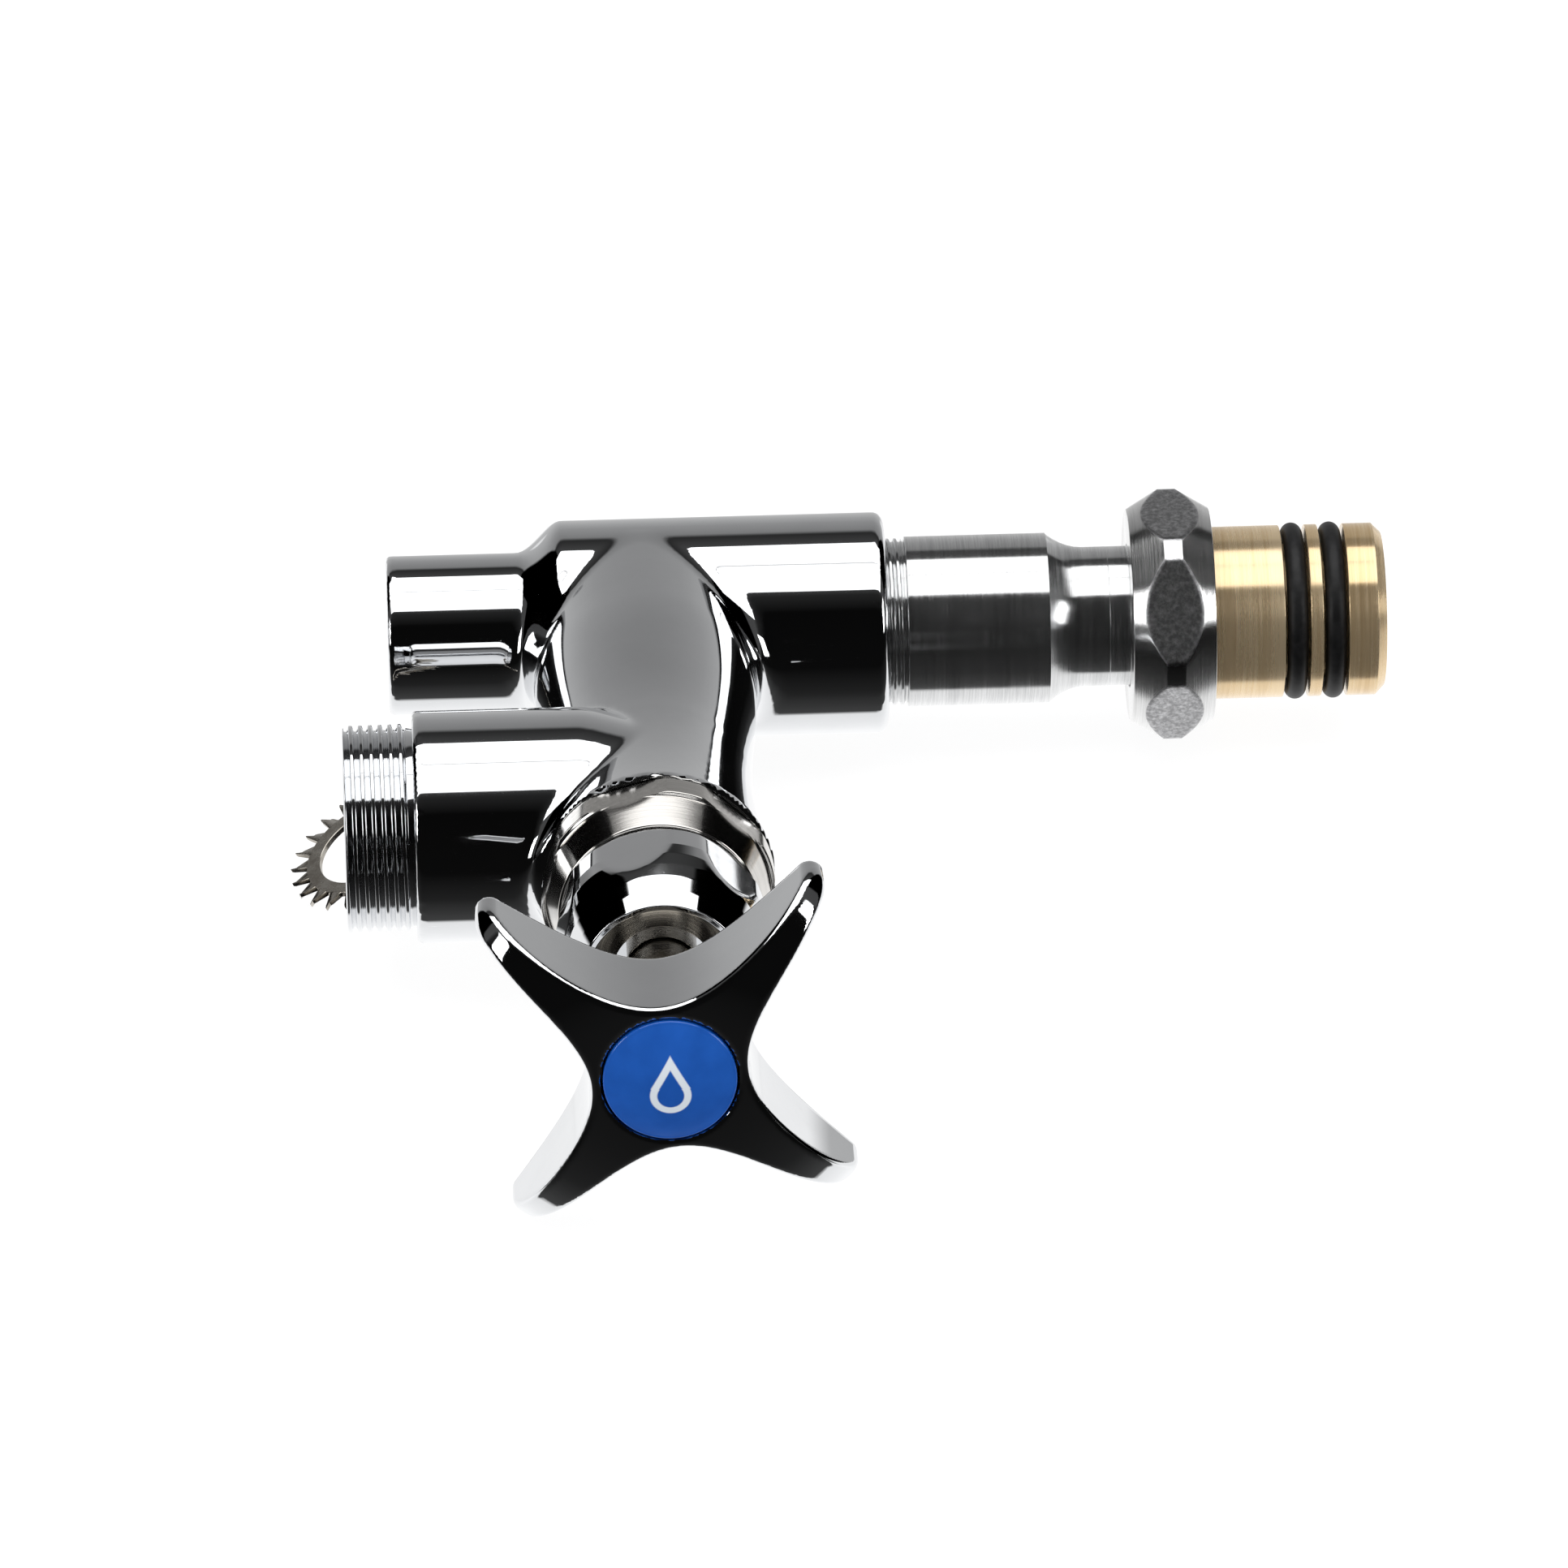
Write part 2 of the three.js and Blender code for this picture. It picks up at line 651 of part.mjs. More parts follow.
const handleInside = unionOf(
  prism(squareOf(tangHalf + fitGap), handleBack - 1, tangEnd + fitGap, alongStem),
  rod(handleBack, handleScrewSeat + 1, handleScrewShankRadius + fitGap, alongStem, 24),
  rod(handleScrewSeat, screwRecessEnd + 0.1, handleScrewHeadRadius + fitGap, alongStem, 24),
  rod(screwRecessEnd, handleBack + handleDepth + 1, buttonRadius + fitGap, alongStem),
);
place(
  "handle",
  prism(handleOutline(), handleBack - 1, handleBack + handleDepth + 1, alongStem)
    .intersect(handleEnvelope)
    .subtract(handleInside),
  chrome(),
);
const handleScrewFace = handleScrewSeat + fitGap;
place(
  "handle_screw",
  unionOf(
    rod(handleScrewFace, handleScrewFace + handleScrewHeadHeight - fitGap, handleScrewHeadRadius, alongStem, 24),
    rod(handleScrewEnd, handleScrewFace + 0.5, handleScrewShankRadius, alongStem, 24),
  ),
  steel(),
);
const buttonRim = buttonSeat + buttonRimHeight;
const domeRadius = (buttonRadius ** 2 + buttonDome ** 2) / (2 * buttonDome);
const domeDegrees = THREE.MathUtils.radToDeg(Math.asin(buttonRadius / domeRadius));
place(
  "index_button",
  turned(
    [
      [buttonSeat, 0],
      [buttonSeat, buttonRadius],
      ...arc(buttonRim + buttonDome - domeRadius, 0, domeRadius, domeDegrees, 0, 6).slice(0, -1),
      [buttonRim + buttonDome, 0],
    ],
    alongStem,
    36,
  ),
  bluePlastic(),
);

// ---------------------------------------------------------------- inlet nipple
const nippleDrop = nippleRadius - nippleNeckRadius;
const filletSteps = 6;
const filletProfile = Array.from({ length: filletSteps + 1 }, (_, i) => {
  const share = i / filletSteps;
  return [nippleNeckStart + nippleFilletLength * share, nippleNeckRadius + nippleDrop * (1 - share) ** 2];
});
const neckEnd = sleeveStart - fitGap;
const tailEnd = neckEnd + nippleTailLength;
place(
  "inlet_nipple",
  turned(
    [
      [nippleBore, nippleBoreRadius],
      [nippleBore, nippleThreadRadius - nippleThreadDepth],
      [inletEnd + fitGap, nippleThreadRadius - nippleThreadDepth],
      ...ridges(
        inletEnd + fitGap,
        nippleShoulder - fitGap,
        nippleThreadRadius,
        nippleThreadDepth,
        nippleThreadPitch,
      ),
      [nippleShoulder, nippleRadius - 0.3],
      [nippleShoulder + 0.3, nippleRadius],
      ...filletProfile,
      [neckEnd, nippleNeckRadius],
      [neckEnd, nippleTailRadius],
      [tailEnd, nippleTailRadius],
      [tailEnd, nippleBoreRadius],
    ],
    alongPipe,
  ),
  steel(),
);

// ---------------------------------------------------------------- swivel sleeve and O-rings
const grooveFloor = sleeveRadius + oRingStandsOut - oRingSection;
const grooveHalf = oRingSection / 2 + 0.25;
const grooves = oRingPlaces.flatMap((middle) => [
  [middle - grooveHalf, sleeveRadius],
  [middle - grooveHalf, grooveFloor],
  [middle + grooveHalf, grooveFloor],
  [middle + grooveHalf, sleeveRadius],
]);
const sleeveBore = Math.min(grooveFloor - sleeveWall, nippleBoreRadius + 1.1);
place(
  "swivel_sleeve",
  turned(
    [
      [sleeveStart, nippleTailRadius + fitGap],
      [sleeveStart, sleeveFlangeRadius],
      [sleeveStart + sleeveFlangeThickness, sleeveFlangeRadius],
      [sleeveStart + sleeveFlangeThickness, sleeveRadius],
      ...grooves,
      [sleeveEnd - sleeveChamfer, sleeveRadius],
      [sleeveEnd, sleeveRadius - sleeveChamfer],
      [sleeveEnd, sleeveBore],
      [tailEnd + fitGap, sleeveBore],
      [tailEnd + fitGap, nippleTailRadius + fitGap],
    ],
    alongPipe,
  ),
  brass(),
);
const oRingMiddle = sleeveRadius + oRingStandsOut - oRingSection / 2;
oRingPlaces.forEach((middle, i) => {
  const section = arc(middle, oRingMiddle, oRingSection / 2 - ringGap, 0, 315, 7);
  place(["o_ring_inner", "o_ring_outer"][i], turned(section, alongPipe), rubber());
});

// ---------------------------------------------------------------- coupling nut and slip ring
const nutEnd = nutStart + nutLength;
const nutMiddle = nutStart + nutLength / 2;
const nutHex = prism(hexagon(nutAcrossFlats, 30 - nutFlatFacing), nutStart, nutEnd, alongPipe);
const nutEnvelope = turned(
  [
    [nutStart, 0],
    [nutStart, nutFaceRadius],
    [nutMiddle - nutLand / 2, nutCornerRadius],
    [nutMiddle + nutLand / 2, nutCornerRadius],
    [nutEnd, nutFaceRadius],
    [nutEnd, 0],
  ],
  alongPipe,
);
const nutInside = unionOf(
  rod(nutStart - 1, nutEnd + 1, nippleNeckRadius + runGap, alongPipe),
  rod(nutStart + nutCollar, nutEnd + 1, nutThreadRadius, alongPipe),
);
place("coupling_nut", nutHex.intersect(nutEnvelope).subtract(nutInside), steel());
place(
  "slip_ring",
  ring(
    slipRingStart,
    slipRingStart + slipRingThickness,
    nippleNeckRadius + runGap,
    slipRingRadius,
    alongPipe,
    36,
  ),
  steel(),
);

// ---------------------------------------------------------------- loose star washer
function starOutline() {
  const pitch = (2 * Math.PI) / starTeeth;
  const corner = (radius, angle) =>
    new THREE.Vector2(radius * Math.cos(angle), radius * Math.sin(angle));
  const points = Array.from({ length: starTeeth }, (_, i) => [
    corner(starRootRadius, pitch * (i + 0.05)),
    corner(starTipRadius, pitch * (i + 0.2)),
    corner(starTipRadius, pitch * (i + 0.65)),
    corner(starRootRadius, pitch * (i + 0.8)),
  ]).flat();
  return new THREE.Shape(points);
}
const starBlank = new THREE.ExtrudeGeometry(starOutline(), {
  depth: starThickness,
  bevelEnabled: false,
});
starBlank.translate(0, 0, -starThickness / 2);
const starHole = new THREE.CylinderGeometry(starHoleRadius, starHoleRadius, starThickness * 3, 32);
starHole.rotateX(Math.PI / 2);
const starWasher = place("star_washer", solid(starBlank).subtract(solid(starHole)), nickel());
starWasher.position.set(...starCentre);
starWasher.rotation.set(
  THREE.MathUtils.degToRad(starLean[1]),
  THREE.MathUtils.degToRad(-starLean[0]),
  0,
);

// ---------------------------------------------------------------- origin
part.updateMatrixWorld(true);
const box = new THREE.Box3().setFromObject(part, true);
part.position.set(
  -(box.min.x + box.max.x) / 2,
  -(box.min.y + box.max.y) / 2,
  -box.min.z,
);

export default part;
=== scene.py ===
"""Add-on faucet valve: the finished look of each piece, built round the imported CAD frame.

Sizes inside the sections are millimetres from the point where the pipe axis meets the stem
axis: x to the right along the pipe, y back, z up. "Reach" is a distance from the pipe axis
towards the handle. `add_piece` turns them into metres in the CAD frame.
"""
import math

import bpy
import numpy as np
from mathutils import Matrix, Vector


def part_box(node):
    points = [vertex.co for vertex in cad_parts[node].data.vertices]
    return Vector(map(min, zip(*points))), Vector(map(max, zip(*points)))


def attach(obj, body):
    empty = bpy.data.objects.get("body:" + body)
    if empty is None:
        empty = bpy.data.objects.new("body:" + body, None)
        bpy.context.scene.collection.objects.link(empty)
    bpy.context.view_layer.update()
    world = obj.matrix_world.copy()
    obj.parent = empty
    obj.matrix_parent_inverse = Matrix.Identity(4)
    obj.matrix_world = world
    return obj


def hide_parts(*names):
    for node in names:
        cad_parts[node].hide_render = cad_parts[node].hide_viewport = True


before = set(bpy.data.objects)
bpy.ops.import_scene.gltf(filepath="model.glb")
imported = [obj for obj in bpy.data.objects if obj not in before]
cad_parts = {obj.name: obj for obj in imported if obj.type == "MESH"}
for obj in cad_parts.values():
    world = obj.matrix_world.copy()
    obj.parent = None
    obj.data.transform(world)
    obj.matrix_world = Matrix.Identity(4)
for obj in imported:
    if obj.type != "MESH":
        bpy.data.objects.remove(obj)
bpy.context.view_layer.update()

# ------------------------------------------------------------------ camera
# A long lens on a stand, 28 degrees above the bench and a hair to the left of the handle. Its
# sight line passes right of and below the crossing of the two axes.
sleeve_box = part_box("swivel_sleeve")
ring_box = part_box("packing_ring")
CROSSING = Vector((
    (ring_box[0][0] + ring_box[1][0]) / 2,
    (sleeve_box[0][1] + sleeve_box[1][1]) / 2,
    (sleeve_box[0][2] + sleeve_box[1][2]) / 2,
))
STAND_OFF = 1.685
ELEVATION = math.radians(28.0)
AZIMUTH = math.radians(-1.9)
ROLL = math.radians(0.73)
AIM_RIGHT = 0.0191
AIM_DOWN = 0.0208

towards = Vector((
    math.sin(AZIMUTH) * math.cos(ELEVATION),
    -math.cos(AZIMUTH) * math.cos(ELEVATION),
    math.sin(ELEVATION),
))
level = Vector((math.cos(AZIMUTH), math.sin(AZIMUTH), 0.0))
upright = towards.cross(level)
right = math.cos(ROLL) * level - math.sin(ROLL) * upright
above = math.sin(ROLL) * level + math.cos(ROLL) * upright

camera = bpy.data.objects.new("camera", bpy.data.cameras.new("camera"))
camera.data.lens = 288.8
camera.data.sensor_width = 36.0
camera.data.clip_end = 20.0
camera.matrix_world = Matrix.Translation(
    CROSSING + STAND_OFF * towards + AIM_RIGHT * right - AIM_DOWN * above
) @ Matrix((right, above, towards)).transposed().to_4x4()
bpy.context.scene.collection.objects.link(camera)
bpy.context.scene.camera = camera
bpy.context.scene.view_settings.view_transform = "Standard"


# ------------------------------------------------------------------ studio
# The light of a product table, painted on the world by direction: a square soft box overhead,
# a grey wall behind, a dark room in front, a white sweep below, and a slim panel at each side.
def new_node(tree, kind, **settings):
    """A shader node. A setting whose name is an input's name goes to that input."""
    node = tree.nodes.new("ShaderNode" + kind)
    for name, value in settings.items():
        socket = node.inputs.get(name.replace("_", " "))
        if hasattr(node, name):
            setattr(node, name, value)
        elif isinstance(value, bpy.types.NodeSocket):
            tree.links.new(value, socket)
        else:
            socket.default_value = value
    return node


def calc(tree, operation, first, second=0.0, third=0.0):
    """One Math node's result, from sockets or numbers."""
    node = tree.nodes.new("ShaderNodeMath")
    node.operation = operation
    for socket, value in zip(node.inputs, (first, second, third)):
        if isinstance(value, bpy.types.NodeSocket):
            tree.links.new(value, socket)
        else:
            socket.default_value = value
    return node.outputs[0]


def ramp(tree, factor, stops):
    """A colour ramp of greys or colours through (place, value) stops."""
    node = tree.nodes.new("ShaderNodeValToRGB")
    tree.links.new(factor, node.inputs[0])
    elements = node.color_ramp.elements
    while len(elements) < len(stops):
        elements.new(0.5)
    for element, (place, value) in zip(elements, stops):
        element.position = place
        shade = (value,) * 3 if isinstance(value, (int, float)) else value
        element.color = (*shade, 1.0)
    return node.outputs[0]


world = bpy.data.worlds.new("studio")
bpy.context.scene.world = world
world.use_nodes = True
sky = world.node_tree
sky.nodes.clear()


def smooth_step(tree, value, low, high):
    """Smooth change from 0 at low to 1 at high, which may be the lower number."""
    node = tree.nodes.new("ShaderNodeMapRange")
    node.interpolation_type = "SMOOTHSTEP"
    tree.links.new(value, node.inputs["Value"])
    node.inputs["From Min"].default_value = low
    node.inputs["From Max"].default_value = high
    return node.outputs["Result"]


def band(tree, value, low, high, soft):
    """1 between low and high, with soft sides."""
    return calc(
        tree,
        "SUBTRACT",
        smooth_step(tree, value, low - soft, low + soft),
        smooth_step(tree, value, high - soft, high + soft),
    )


direction = new_node(sky, "SeparateXYZ", Vector=new_node(sky, "TexCoord").outputs["Generated"])
side, back, up = direction.outputs
sideways = calc(sky, "ABSOLUTE", side)
pitch = calc(sky, "ARCTAN2", up, calc(sky, "MULTIPLY", back, -1.0))
turn = calc(sky, "ADD", calc(sky, "MULTIPLY", pitch, 0.5 / math.pi), 0.5)


def at(degrees):
    """Place on the ramp of a pitch: 0 is level to the front, 90 overhead, 180 level behind."""
    return degrees / 360.0 + 0.5


ROOM = [
    (at(-180), 0.48),
    (at(-167), 0.56),
    (at(-161), 1.02),
    (at(-125), 1.12),
    (at(-100), 1.02),
    (at(-84), 0.95),
    (at(-79), 0.06),
    (at(-50), 0.018),
    (at(-20), 0.004),
    (at(40), 0.003),
    (at(57), 0.020),
    (at(66), 0.07),
    (at(120), 0.06),
    (at(136), 0.025),
    (at(141), 0.24),
    (at(160), 0.33),
    (at(180), 0.48),
]
room = ramp(sky, turn, ROOM)
overhead = calc(sky, "MAXIMUM", up, 0.001)
box_across = band(sky, calc(sky, "DIVIDE", side, overhead), -0.78, 0.78, 0.015)
box_along = band(sky, calc(sky, "DIVIDE", back, overhead), -0.53, 0.56, 0.012)
box_seam = band(sky, calc(sky, "DIVIDE", back, overhead), 0.035, 0.062, 0.004)
box_light = calc(sky, "MULTIPLY_ADD", box_seam, -1.15, 1.9)
soft_box = calc(sky, "MULTIPLY", calc(sky, "MULTIPLY", box_across, box_along), box_light)
behind = calc(sky, "MAXIMUM", back, 0.001)
wall_edge = smooth_step(sky, calc(sky, "DIVIDE", sideways, behind), 0.95, 0.85)
beneath = smooth_step(sky, up, -0.20, -0.32)
rear = smooth_step(sky, back, 0.02, -0.02)
shown = calc(sky, "MAXIMUM", calc(sky, "MAXIMUM", wall_edge, beneath), rear)
sides = calc(sky, "MAXIMUM", sideways, 0.001)
panel_along = band(sky, calc(sky, "DIVIDE", back, sides), -0.62, -0.30, 0.03)
panel_up = band(sky, calc(sky, "DIVIDE", up, sides), 0.12, 0.62, 0.03)
panels = calc(sky, "MULTIPLY", calc(sky, "MULTIPLY", panel_along, panel_up), 5.0)
sweep_side = calc(
    sky, "MULTIPLY", smooth_step(sky, sideways, 0.22, 0.42), smooth_step(sky, up, 0.02, -0.06))
sweep_side = calc(sky, "MULTIPLY", sweep_side, smooth_step(sky, back, 0.1, 0.3))
lower = calc(sky, "MAXIMUM", calc(sky, "MULTIPLY", room, shown), sweep_side)
light = calc(sky, "ADD", calc(sky, "ADD", lower, soft_box), panels)
ray = new_node(sky, "LightPath").outputs
filled = calc(sky, "MULTIPLY_ADD", ray["Is Diffuse Ray"], 0.75, light)
seen = new_node(sky, "MixRGB", Fac=ray["Is Camera Ray"])
sky.links.new(filled, seen.inputs["Color1"])
seen.inputs["Color2"].default_value = (1.0, 1.0, 1.0, 1.0)
glow = new_node(sky, "Background", Color=seen.outputs[0])
sky.links.new(glow.outputs[0], new_node(sky, "OutputWorld").inputs["Surface"])

# The white sweep that it lies on, tilted by the few degrees at which the valve would rest on one
# handle tip, the coupling nut and the barrel. It lies a little under them.
FLOOR_RADIUS = 0.9
FLOOR_HEIGHT = 0.00255
FLOOR_SLOPE = (-0.0011, 0.0715)
FLOOR_SIDES = 96
ring = np.linspace(0, 2 * math.pi, FLOOR_SIDES + 1)[:-1]
rim = FLOOR_RADIUS * np.stack([np.cos(ring), np.sin(ring)], -1)
sweep_points = np.column_stack([rim, FLOOR_HEIGHT + rim @ np.array(FLOOR_SLOPE)])
sweep_mesh = bpy.data.meshes.new("sweep")
sweep_mesh.from_pydata(sweep_points.tolist(), [], [list(range(len(ring)))])
sweep = bpy.data.objects.new("sweep", sweep_mesh)
bpy.context.scene.collection.objects.link(sweep)
sweep_paint = bpy.data.materials.new("white_sweep")
sweep_paint.use_nodes = True
paint = sweep_paint.node_tree
paint.nodes.clear()
matt = new_node(paint, "BsdfDiffuse", Color=(0.15, 0.151, 0.154, 1.0))
lift = new_node(paint, "Emission", Color=(1.0, 1.0, 1.0, 1.0), Strength=0.92)
both = new_node(paint, "AddShader")
paint.links.new(matt.outputs[0], both.inputs[0])
paint.links.new(lift.outputs[0], both.inputs[1])
paint.links.new(both.outputs[0], new_node(paint, "OutputMaterial").inputs["Surface"])
sweep_mesh.materials.append(sweep_paint)
sweep.visible_glossy = False
sweep.visible_diffuse = False


# ------------------------------------------------------------------ valve body
# One brass casting with chrome plate: barrel, riser boss, column and outlet tube run into each
# other with cast fillets. The bores and the outlet's thread are machined before it is plated.
def add_piece(name, points, faces, material, body, replaced, uv=None, sharp=32.0):
    """A mesh object from whole arrays. Points are millimetres from the crossing, with y back."""
    mesh = bpy.data.meshes.new(name)
    mesh.vertices.add(len(points))
    placed = (points * 0.001 + np.array(CROSSING)).astype(np.float32)
    mesh.vertices.foreach_set("co", placed.ravel())
    corners = faces.shape[1]
    mesh.loops.add(faces.size)
    mesh.loops.foreach_set("vertex_index", faces.astype(np.int32).ravel())
    mesh.polygons.add(len(faces))
    mesh.polygons.foreach_set("loop_start", np.arange(0, faces.size, corners, dtype=np.int32))
    mesh.update(calc_edges=True)
    if uv is not None:
        layer = mesh.uv_layers.new(name="work")
        layer.data.foreach_set("uv", uv.astype(np.float32).ravel())
    mesh.shade_smooth()
    mesh.set_sharp_from_angle(angle=math.radians(sharp))
    mesh.materials.append(material)
    made = bpy.data.objects.new(name, mesh)
    bpy.context.scene.collection.objects.link(made)
    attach(made, body)
    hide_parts(*replaced)
    return made


def united(a, b, fillet):
    """Two fields joined, with a round fillet in the corner between them."""
    corner = np.hypot(np.maximum(fillet - a, 0), np.maximum(fillet - b, 0))
    return np.maximum(fillet, np.minimum(a, b)) - corner


def trimmed(a, b, edge):
    """What two fields share, with a round edge where they meet."""
    corner = np.hypot(np.maximum(edge + a, 0), np.maximum(edge + b, 0))
    return np.minimum(-edge, np.maximum(a, b)) + corner


def skin(field, low, high, step):
    """The closed surface where field(x, y, z) is 0, with the solid where it is negative.

    Each grid cell that the surface crosses gets one point, the mean of the crossings on the
    cell's edges. Each crossed grid edge gets one face through the four cells round it. Three
    Newton steps, p - field / gradient, then bring every point onto the surface.
    """
    low = np.array(low, float)
    axes = [np.arange(a, b + step, step) for a, b in zip(low, high)]
    value = field(*np.meshgrid(*axes, indexing="ij", sparse=True))
    inside = value < 0
    cells = tuple(np.array(value.shape) - 1)
    total = np.zeros((*cells, 3))
    count = np.zeros(cells)
    for axis in range(3):
        first = np.delete(value, -1, axis)
        second = np.delete(value, 0, axis)
        crossed = (first < 0) != (second < 0)
        share = np.where(crossed, first / np.where(crossed, first - second, 1.0), 0.0)
        one, two = [a for a in range(3) if a != axis]
        for step_one in (0, 1):
            for step_two in (0, 1):
                window = [slice(None)] * 3
                window[one] = slice(step_one, step_one + cells[one])
                window[two] = slice(step_two, step_two + cells[two])
                here = crossed[tuple(window)]
                count += here
                total[..., axis] += share[tuple(window)]
                total[..., one] += here * step_one
                total[..., two] += here * step_two
    active = count > 0
    index = np.full(cells, -1)
    index[active] = np.arange(active.sum())
    points = low + step * (np.argwhere(active) + total[active] / count[active][:, None])
    faces = []
    for axis in range(3):
        one, two = (axis + 1) % 3, (axis + 2) % 3
        start = np.delete(inside, -1, axis)
        stop = np.delete(inside, 0, axis)
        inner = [slice(None)] * 3
        inner[one] = inner[two] = slice(1, -1)
        places = np.argwhere((start != stop)[tuple(inner)])
        outward = start[tuple(inner)][tuple(places.T)]
        around = []
        for step_one, step_two in ((0, 0), (1, 0), (1, 1), (0, 1)):
            cell = places.copy()
            cell[:, one] += step_one
            cell[:, two] += step_two
            around.append(index[tuple(cell.T)])
        quad = np.stack(around, -1)
        faces.append(np.where(outward[:, None], quad, quad[:, ::-1]))
    small = 0.01
    for _ in range(3):
        here = field(*points.T)
        slope = np.stack([
            field(*(points + small * unit).T) - field(*(points - small * unit).T)
            for unit in np.eye(3)], -1) / (2 * small)
        points = points - slope * (here / np.maximum((slope**2).sum(-1), 0.05))[:, None]
    return points, np.concatenate(faces)


TURNED_COLUMNS = 192
THREAD_COLUMNS = 240


def grid_faces(rows, columns, closed=True):
    """Faces between neighbouring rings, with the row and column of each one's first corner."""
    last = rows if closed else rows - 1
    i, j = np.meshgrid(np.arange(last), np.arange(columns), indexing="ij")
    below, beside = (i + 1) % rows, (j + 1) % columns
    corners = (
        i * columns + j, i * columns + beside, below * columns + beside, below * columns + j)
    return i, j, np.stack(corners, -1).reshape(-1, 4)


def turned(along, radius, axis="pipe", centre=0.0, closed=True):
    """Turned work: row i is a ring at along[i] with radius[i, j] at the angle of column j.

    On the pipe axis the angle starts at the front and rises, and the axis stands at the reach
    `centre`. On the stem axis it starts at +x and rises. Rows close on themselves round a bore,
    or start and end at radius 0. The first UV direction runs along the profile.
    """
    along = np.asarray(along, float)
    radius = np.asarray(radius, float)
    if radius.ndim == 1:
        radius = np.repeat(radius[:, None], TURNED_COLUMNS, 1)
    rows, columns = radius.shape
    angle = np.arange(columns) * 2 * math.pi / columns
    place = np.repeat(along[:, None], columns, 1)
    across, rise = radius * np.cos(angle), radius * np.sin(angle)
    if axis == "pipe":
        points = np.stack([place, -centre - across, rise], -1)
    else:
        points = np.stack([across, -place, rise], -1)
    i, j, faces = grid_faces(rows, columns, closed)
    travel = np.concatenate([[0], np.cumsum(np.hypot(np.diff(along), np.diff(radius[:, 0])))])
    travel = np.append(travel, travel[-1] + 1.0) * 0.02
    uv = np.stack([
        np.stack([travel[i + down], (j + along_ring) / columns], -1)
        for down, along_ring in ((0, 0), (0, 1), (1, 1), (1, 0))], 2)
    points, uv = points.reshape(-1, 3), uv.reshape(-1, 4, 2)
    a, b, c, d = (points[faces[:, k]] for k in range(4))
    volume = (
        np.einsum("ij,ij->i", a, np.cross(b, c)).sum()
        + np.einsum("ij,ij->i", a, np.cross(c, d)).sum())
    if volume < 0:
        faces, uv = faces[:, ::-1], uv[:, ::-1]
    return points, faces, uv


def outline(corners, spacing=None):
    """A profile through (along, radius, rounding) corners, each turned by a small arc.

    With a spacing, straight runs get extra points that far apart.
    """
    places = np.array([corner[:2] for corner in corners], float)
    out = []
    for k, (along, radius, rounding) in enumerate(corners):
        here = places[k]
        before = places[k - 1] - here
        after = places[(k + 1) % len(places)] - here
        if rounding == 0:
            out.append(here[None])
            continue
        unit_before = before / np.linalg.norm(before)
        unit_after = after / np.linalg.norm(after)
        half = math.acos(max(-1.0, min(1.0, float(unit_before @ unit_after)))) / 2
        back_off = rounding / math.tan(half)
        middle = (unit_before + unit_after) / np.linalg.norm(unit_before + unit_after)
        centre = here + middle * rounding / math.sin(half)
        share = np.linspace(0, 1, 6)[:, None]
        chord = here + unit_before * back_off * (1 - share) + unit_after * back_off * share
        spoke = chord - centre
        out.append(centre + spoke * rounding / np.linalg.norm(spoke, axis=1)[:, None])
    path = np.concatenate(out)
    if spacing:
        loop = np.concatenate([path, path[:1]])
        travel = np.concatenate([[0], np.cumsum(np.linalg.norm(np.diff(loop, axis=0), axis=1))])
        wanted = np.union1d(travel, np.arange(0, travel[-1], spacing))[:-1]
        path = np.stack([np.interp(wanted, travel, loop[:, k]) for k in (0, 1)], -1)
    return path[:, 0], path[:, 1]


def new_material(name):
    """A node material with its Principled shader and its Object coordinates."""
    material = bpy.data.materials.new(name)
    material.use_nodes = True
    tree = material.node_tree
    shader = tree.nodes["Principled BSDF"]
    return material, tree, shader, new_node(tree, "TexCoord").outputs["Object"]


def speckle(tree, coordinates, scale, detail=3.0, stretch=(1.0, 1.0, 1.0), roughness=0.5):
    """Noise on Object coordinates, stretched along the axes."""
    mapped = new_node(tree, "Mapping", Vector=coordinates, Scale=stretch)
    noise = new_node(
        tree, "TexNoise", Vector=mapped.outputs[0], Scale=scale, Detail=detail,
        Roughness=roughness)
    return noise.outputs["Fac"]


def spread(tree, value, low, high, to_low, to_high):
    """A value carried from one range to another, held at the ends."""
    node = new_node(tree, "MapRange", Value=value)
    ends = {"From Min": low, "From Max": high, "To Min": to_low, "To Max": to_high}
    for name, number in ends.items():
        node.inputs[name].default_value = number
    return node.outputs["Result"]


def raise_by(tree, shader, height, strength, distance):
    """A bump from a height."""
    bump = new_node(tree, "Bump", Height=height, Strength=strength, Distance=distance)
    tree.links.new(bump.outputs[0], shader.inputs["Normal"])


def chrome_plate(name, ripple):
    """Bright chrome plate: near mirror, with faint handling haze and the casting's ripple."""
    material, tree, shader, coordinates = new_material(name)
    shader.inputs["Metallic"].default_value = 1.0
    haze = speckle(tree, coordinates, 90.0, 5.0, roughness=0.65)
    dust = speckle(tree, coordinates, 1600.0, 2.0)
    tree.links.new(
        ramp(tree, haze, [(0.35, (0.80, 0.81, 0.825)), (0.7, (0.765, 0.775, 0.79))]),
        shader.inputs["Base Color"],
    )
    fleck = spread(tree, dust, 0.74, 0.80, 0.0, 0.16)
    film = spread(tree, haze, 0.45, 0.8, 0.028, 0.075)
    tree.links.new(calc(tree, "ADD", fleck, film), shader.inputs["Roughness"])
    raise_by(tree, shader, speckle(tree, coordinates, 55.0, 1.0), ripple, 0.0006)
    return material


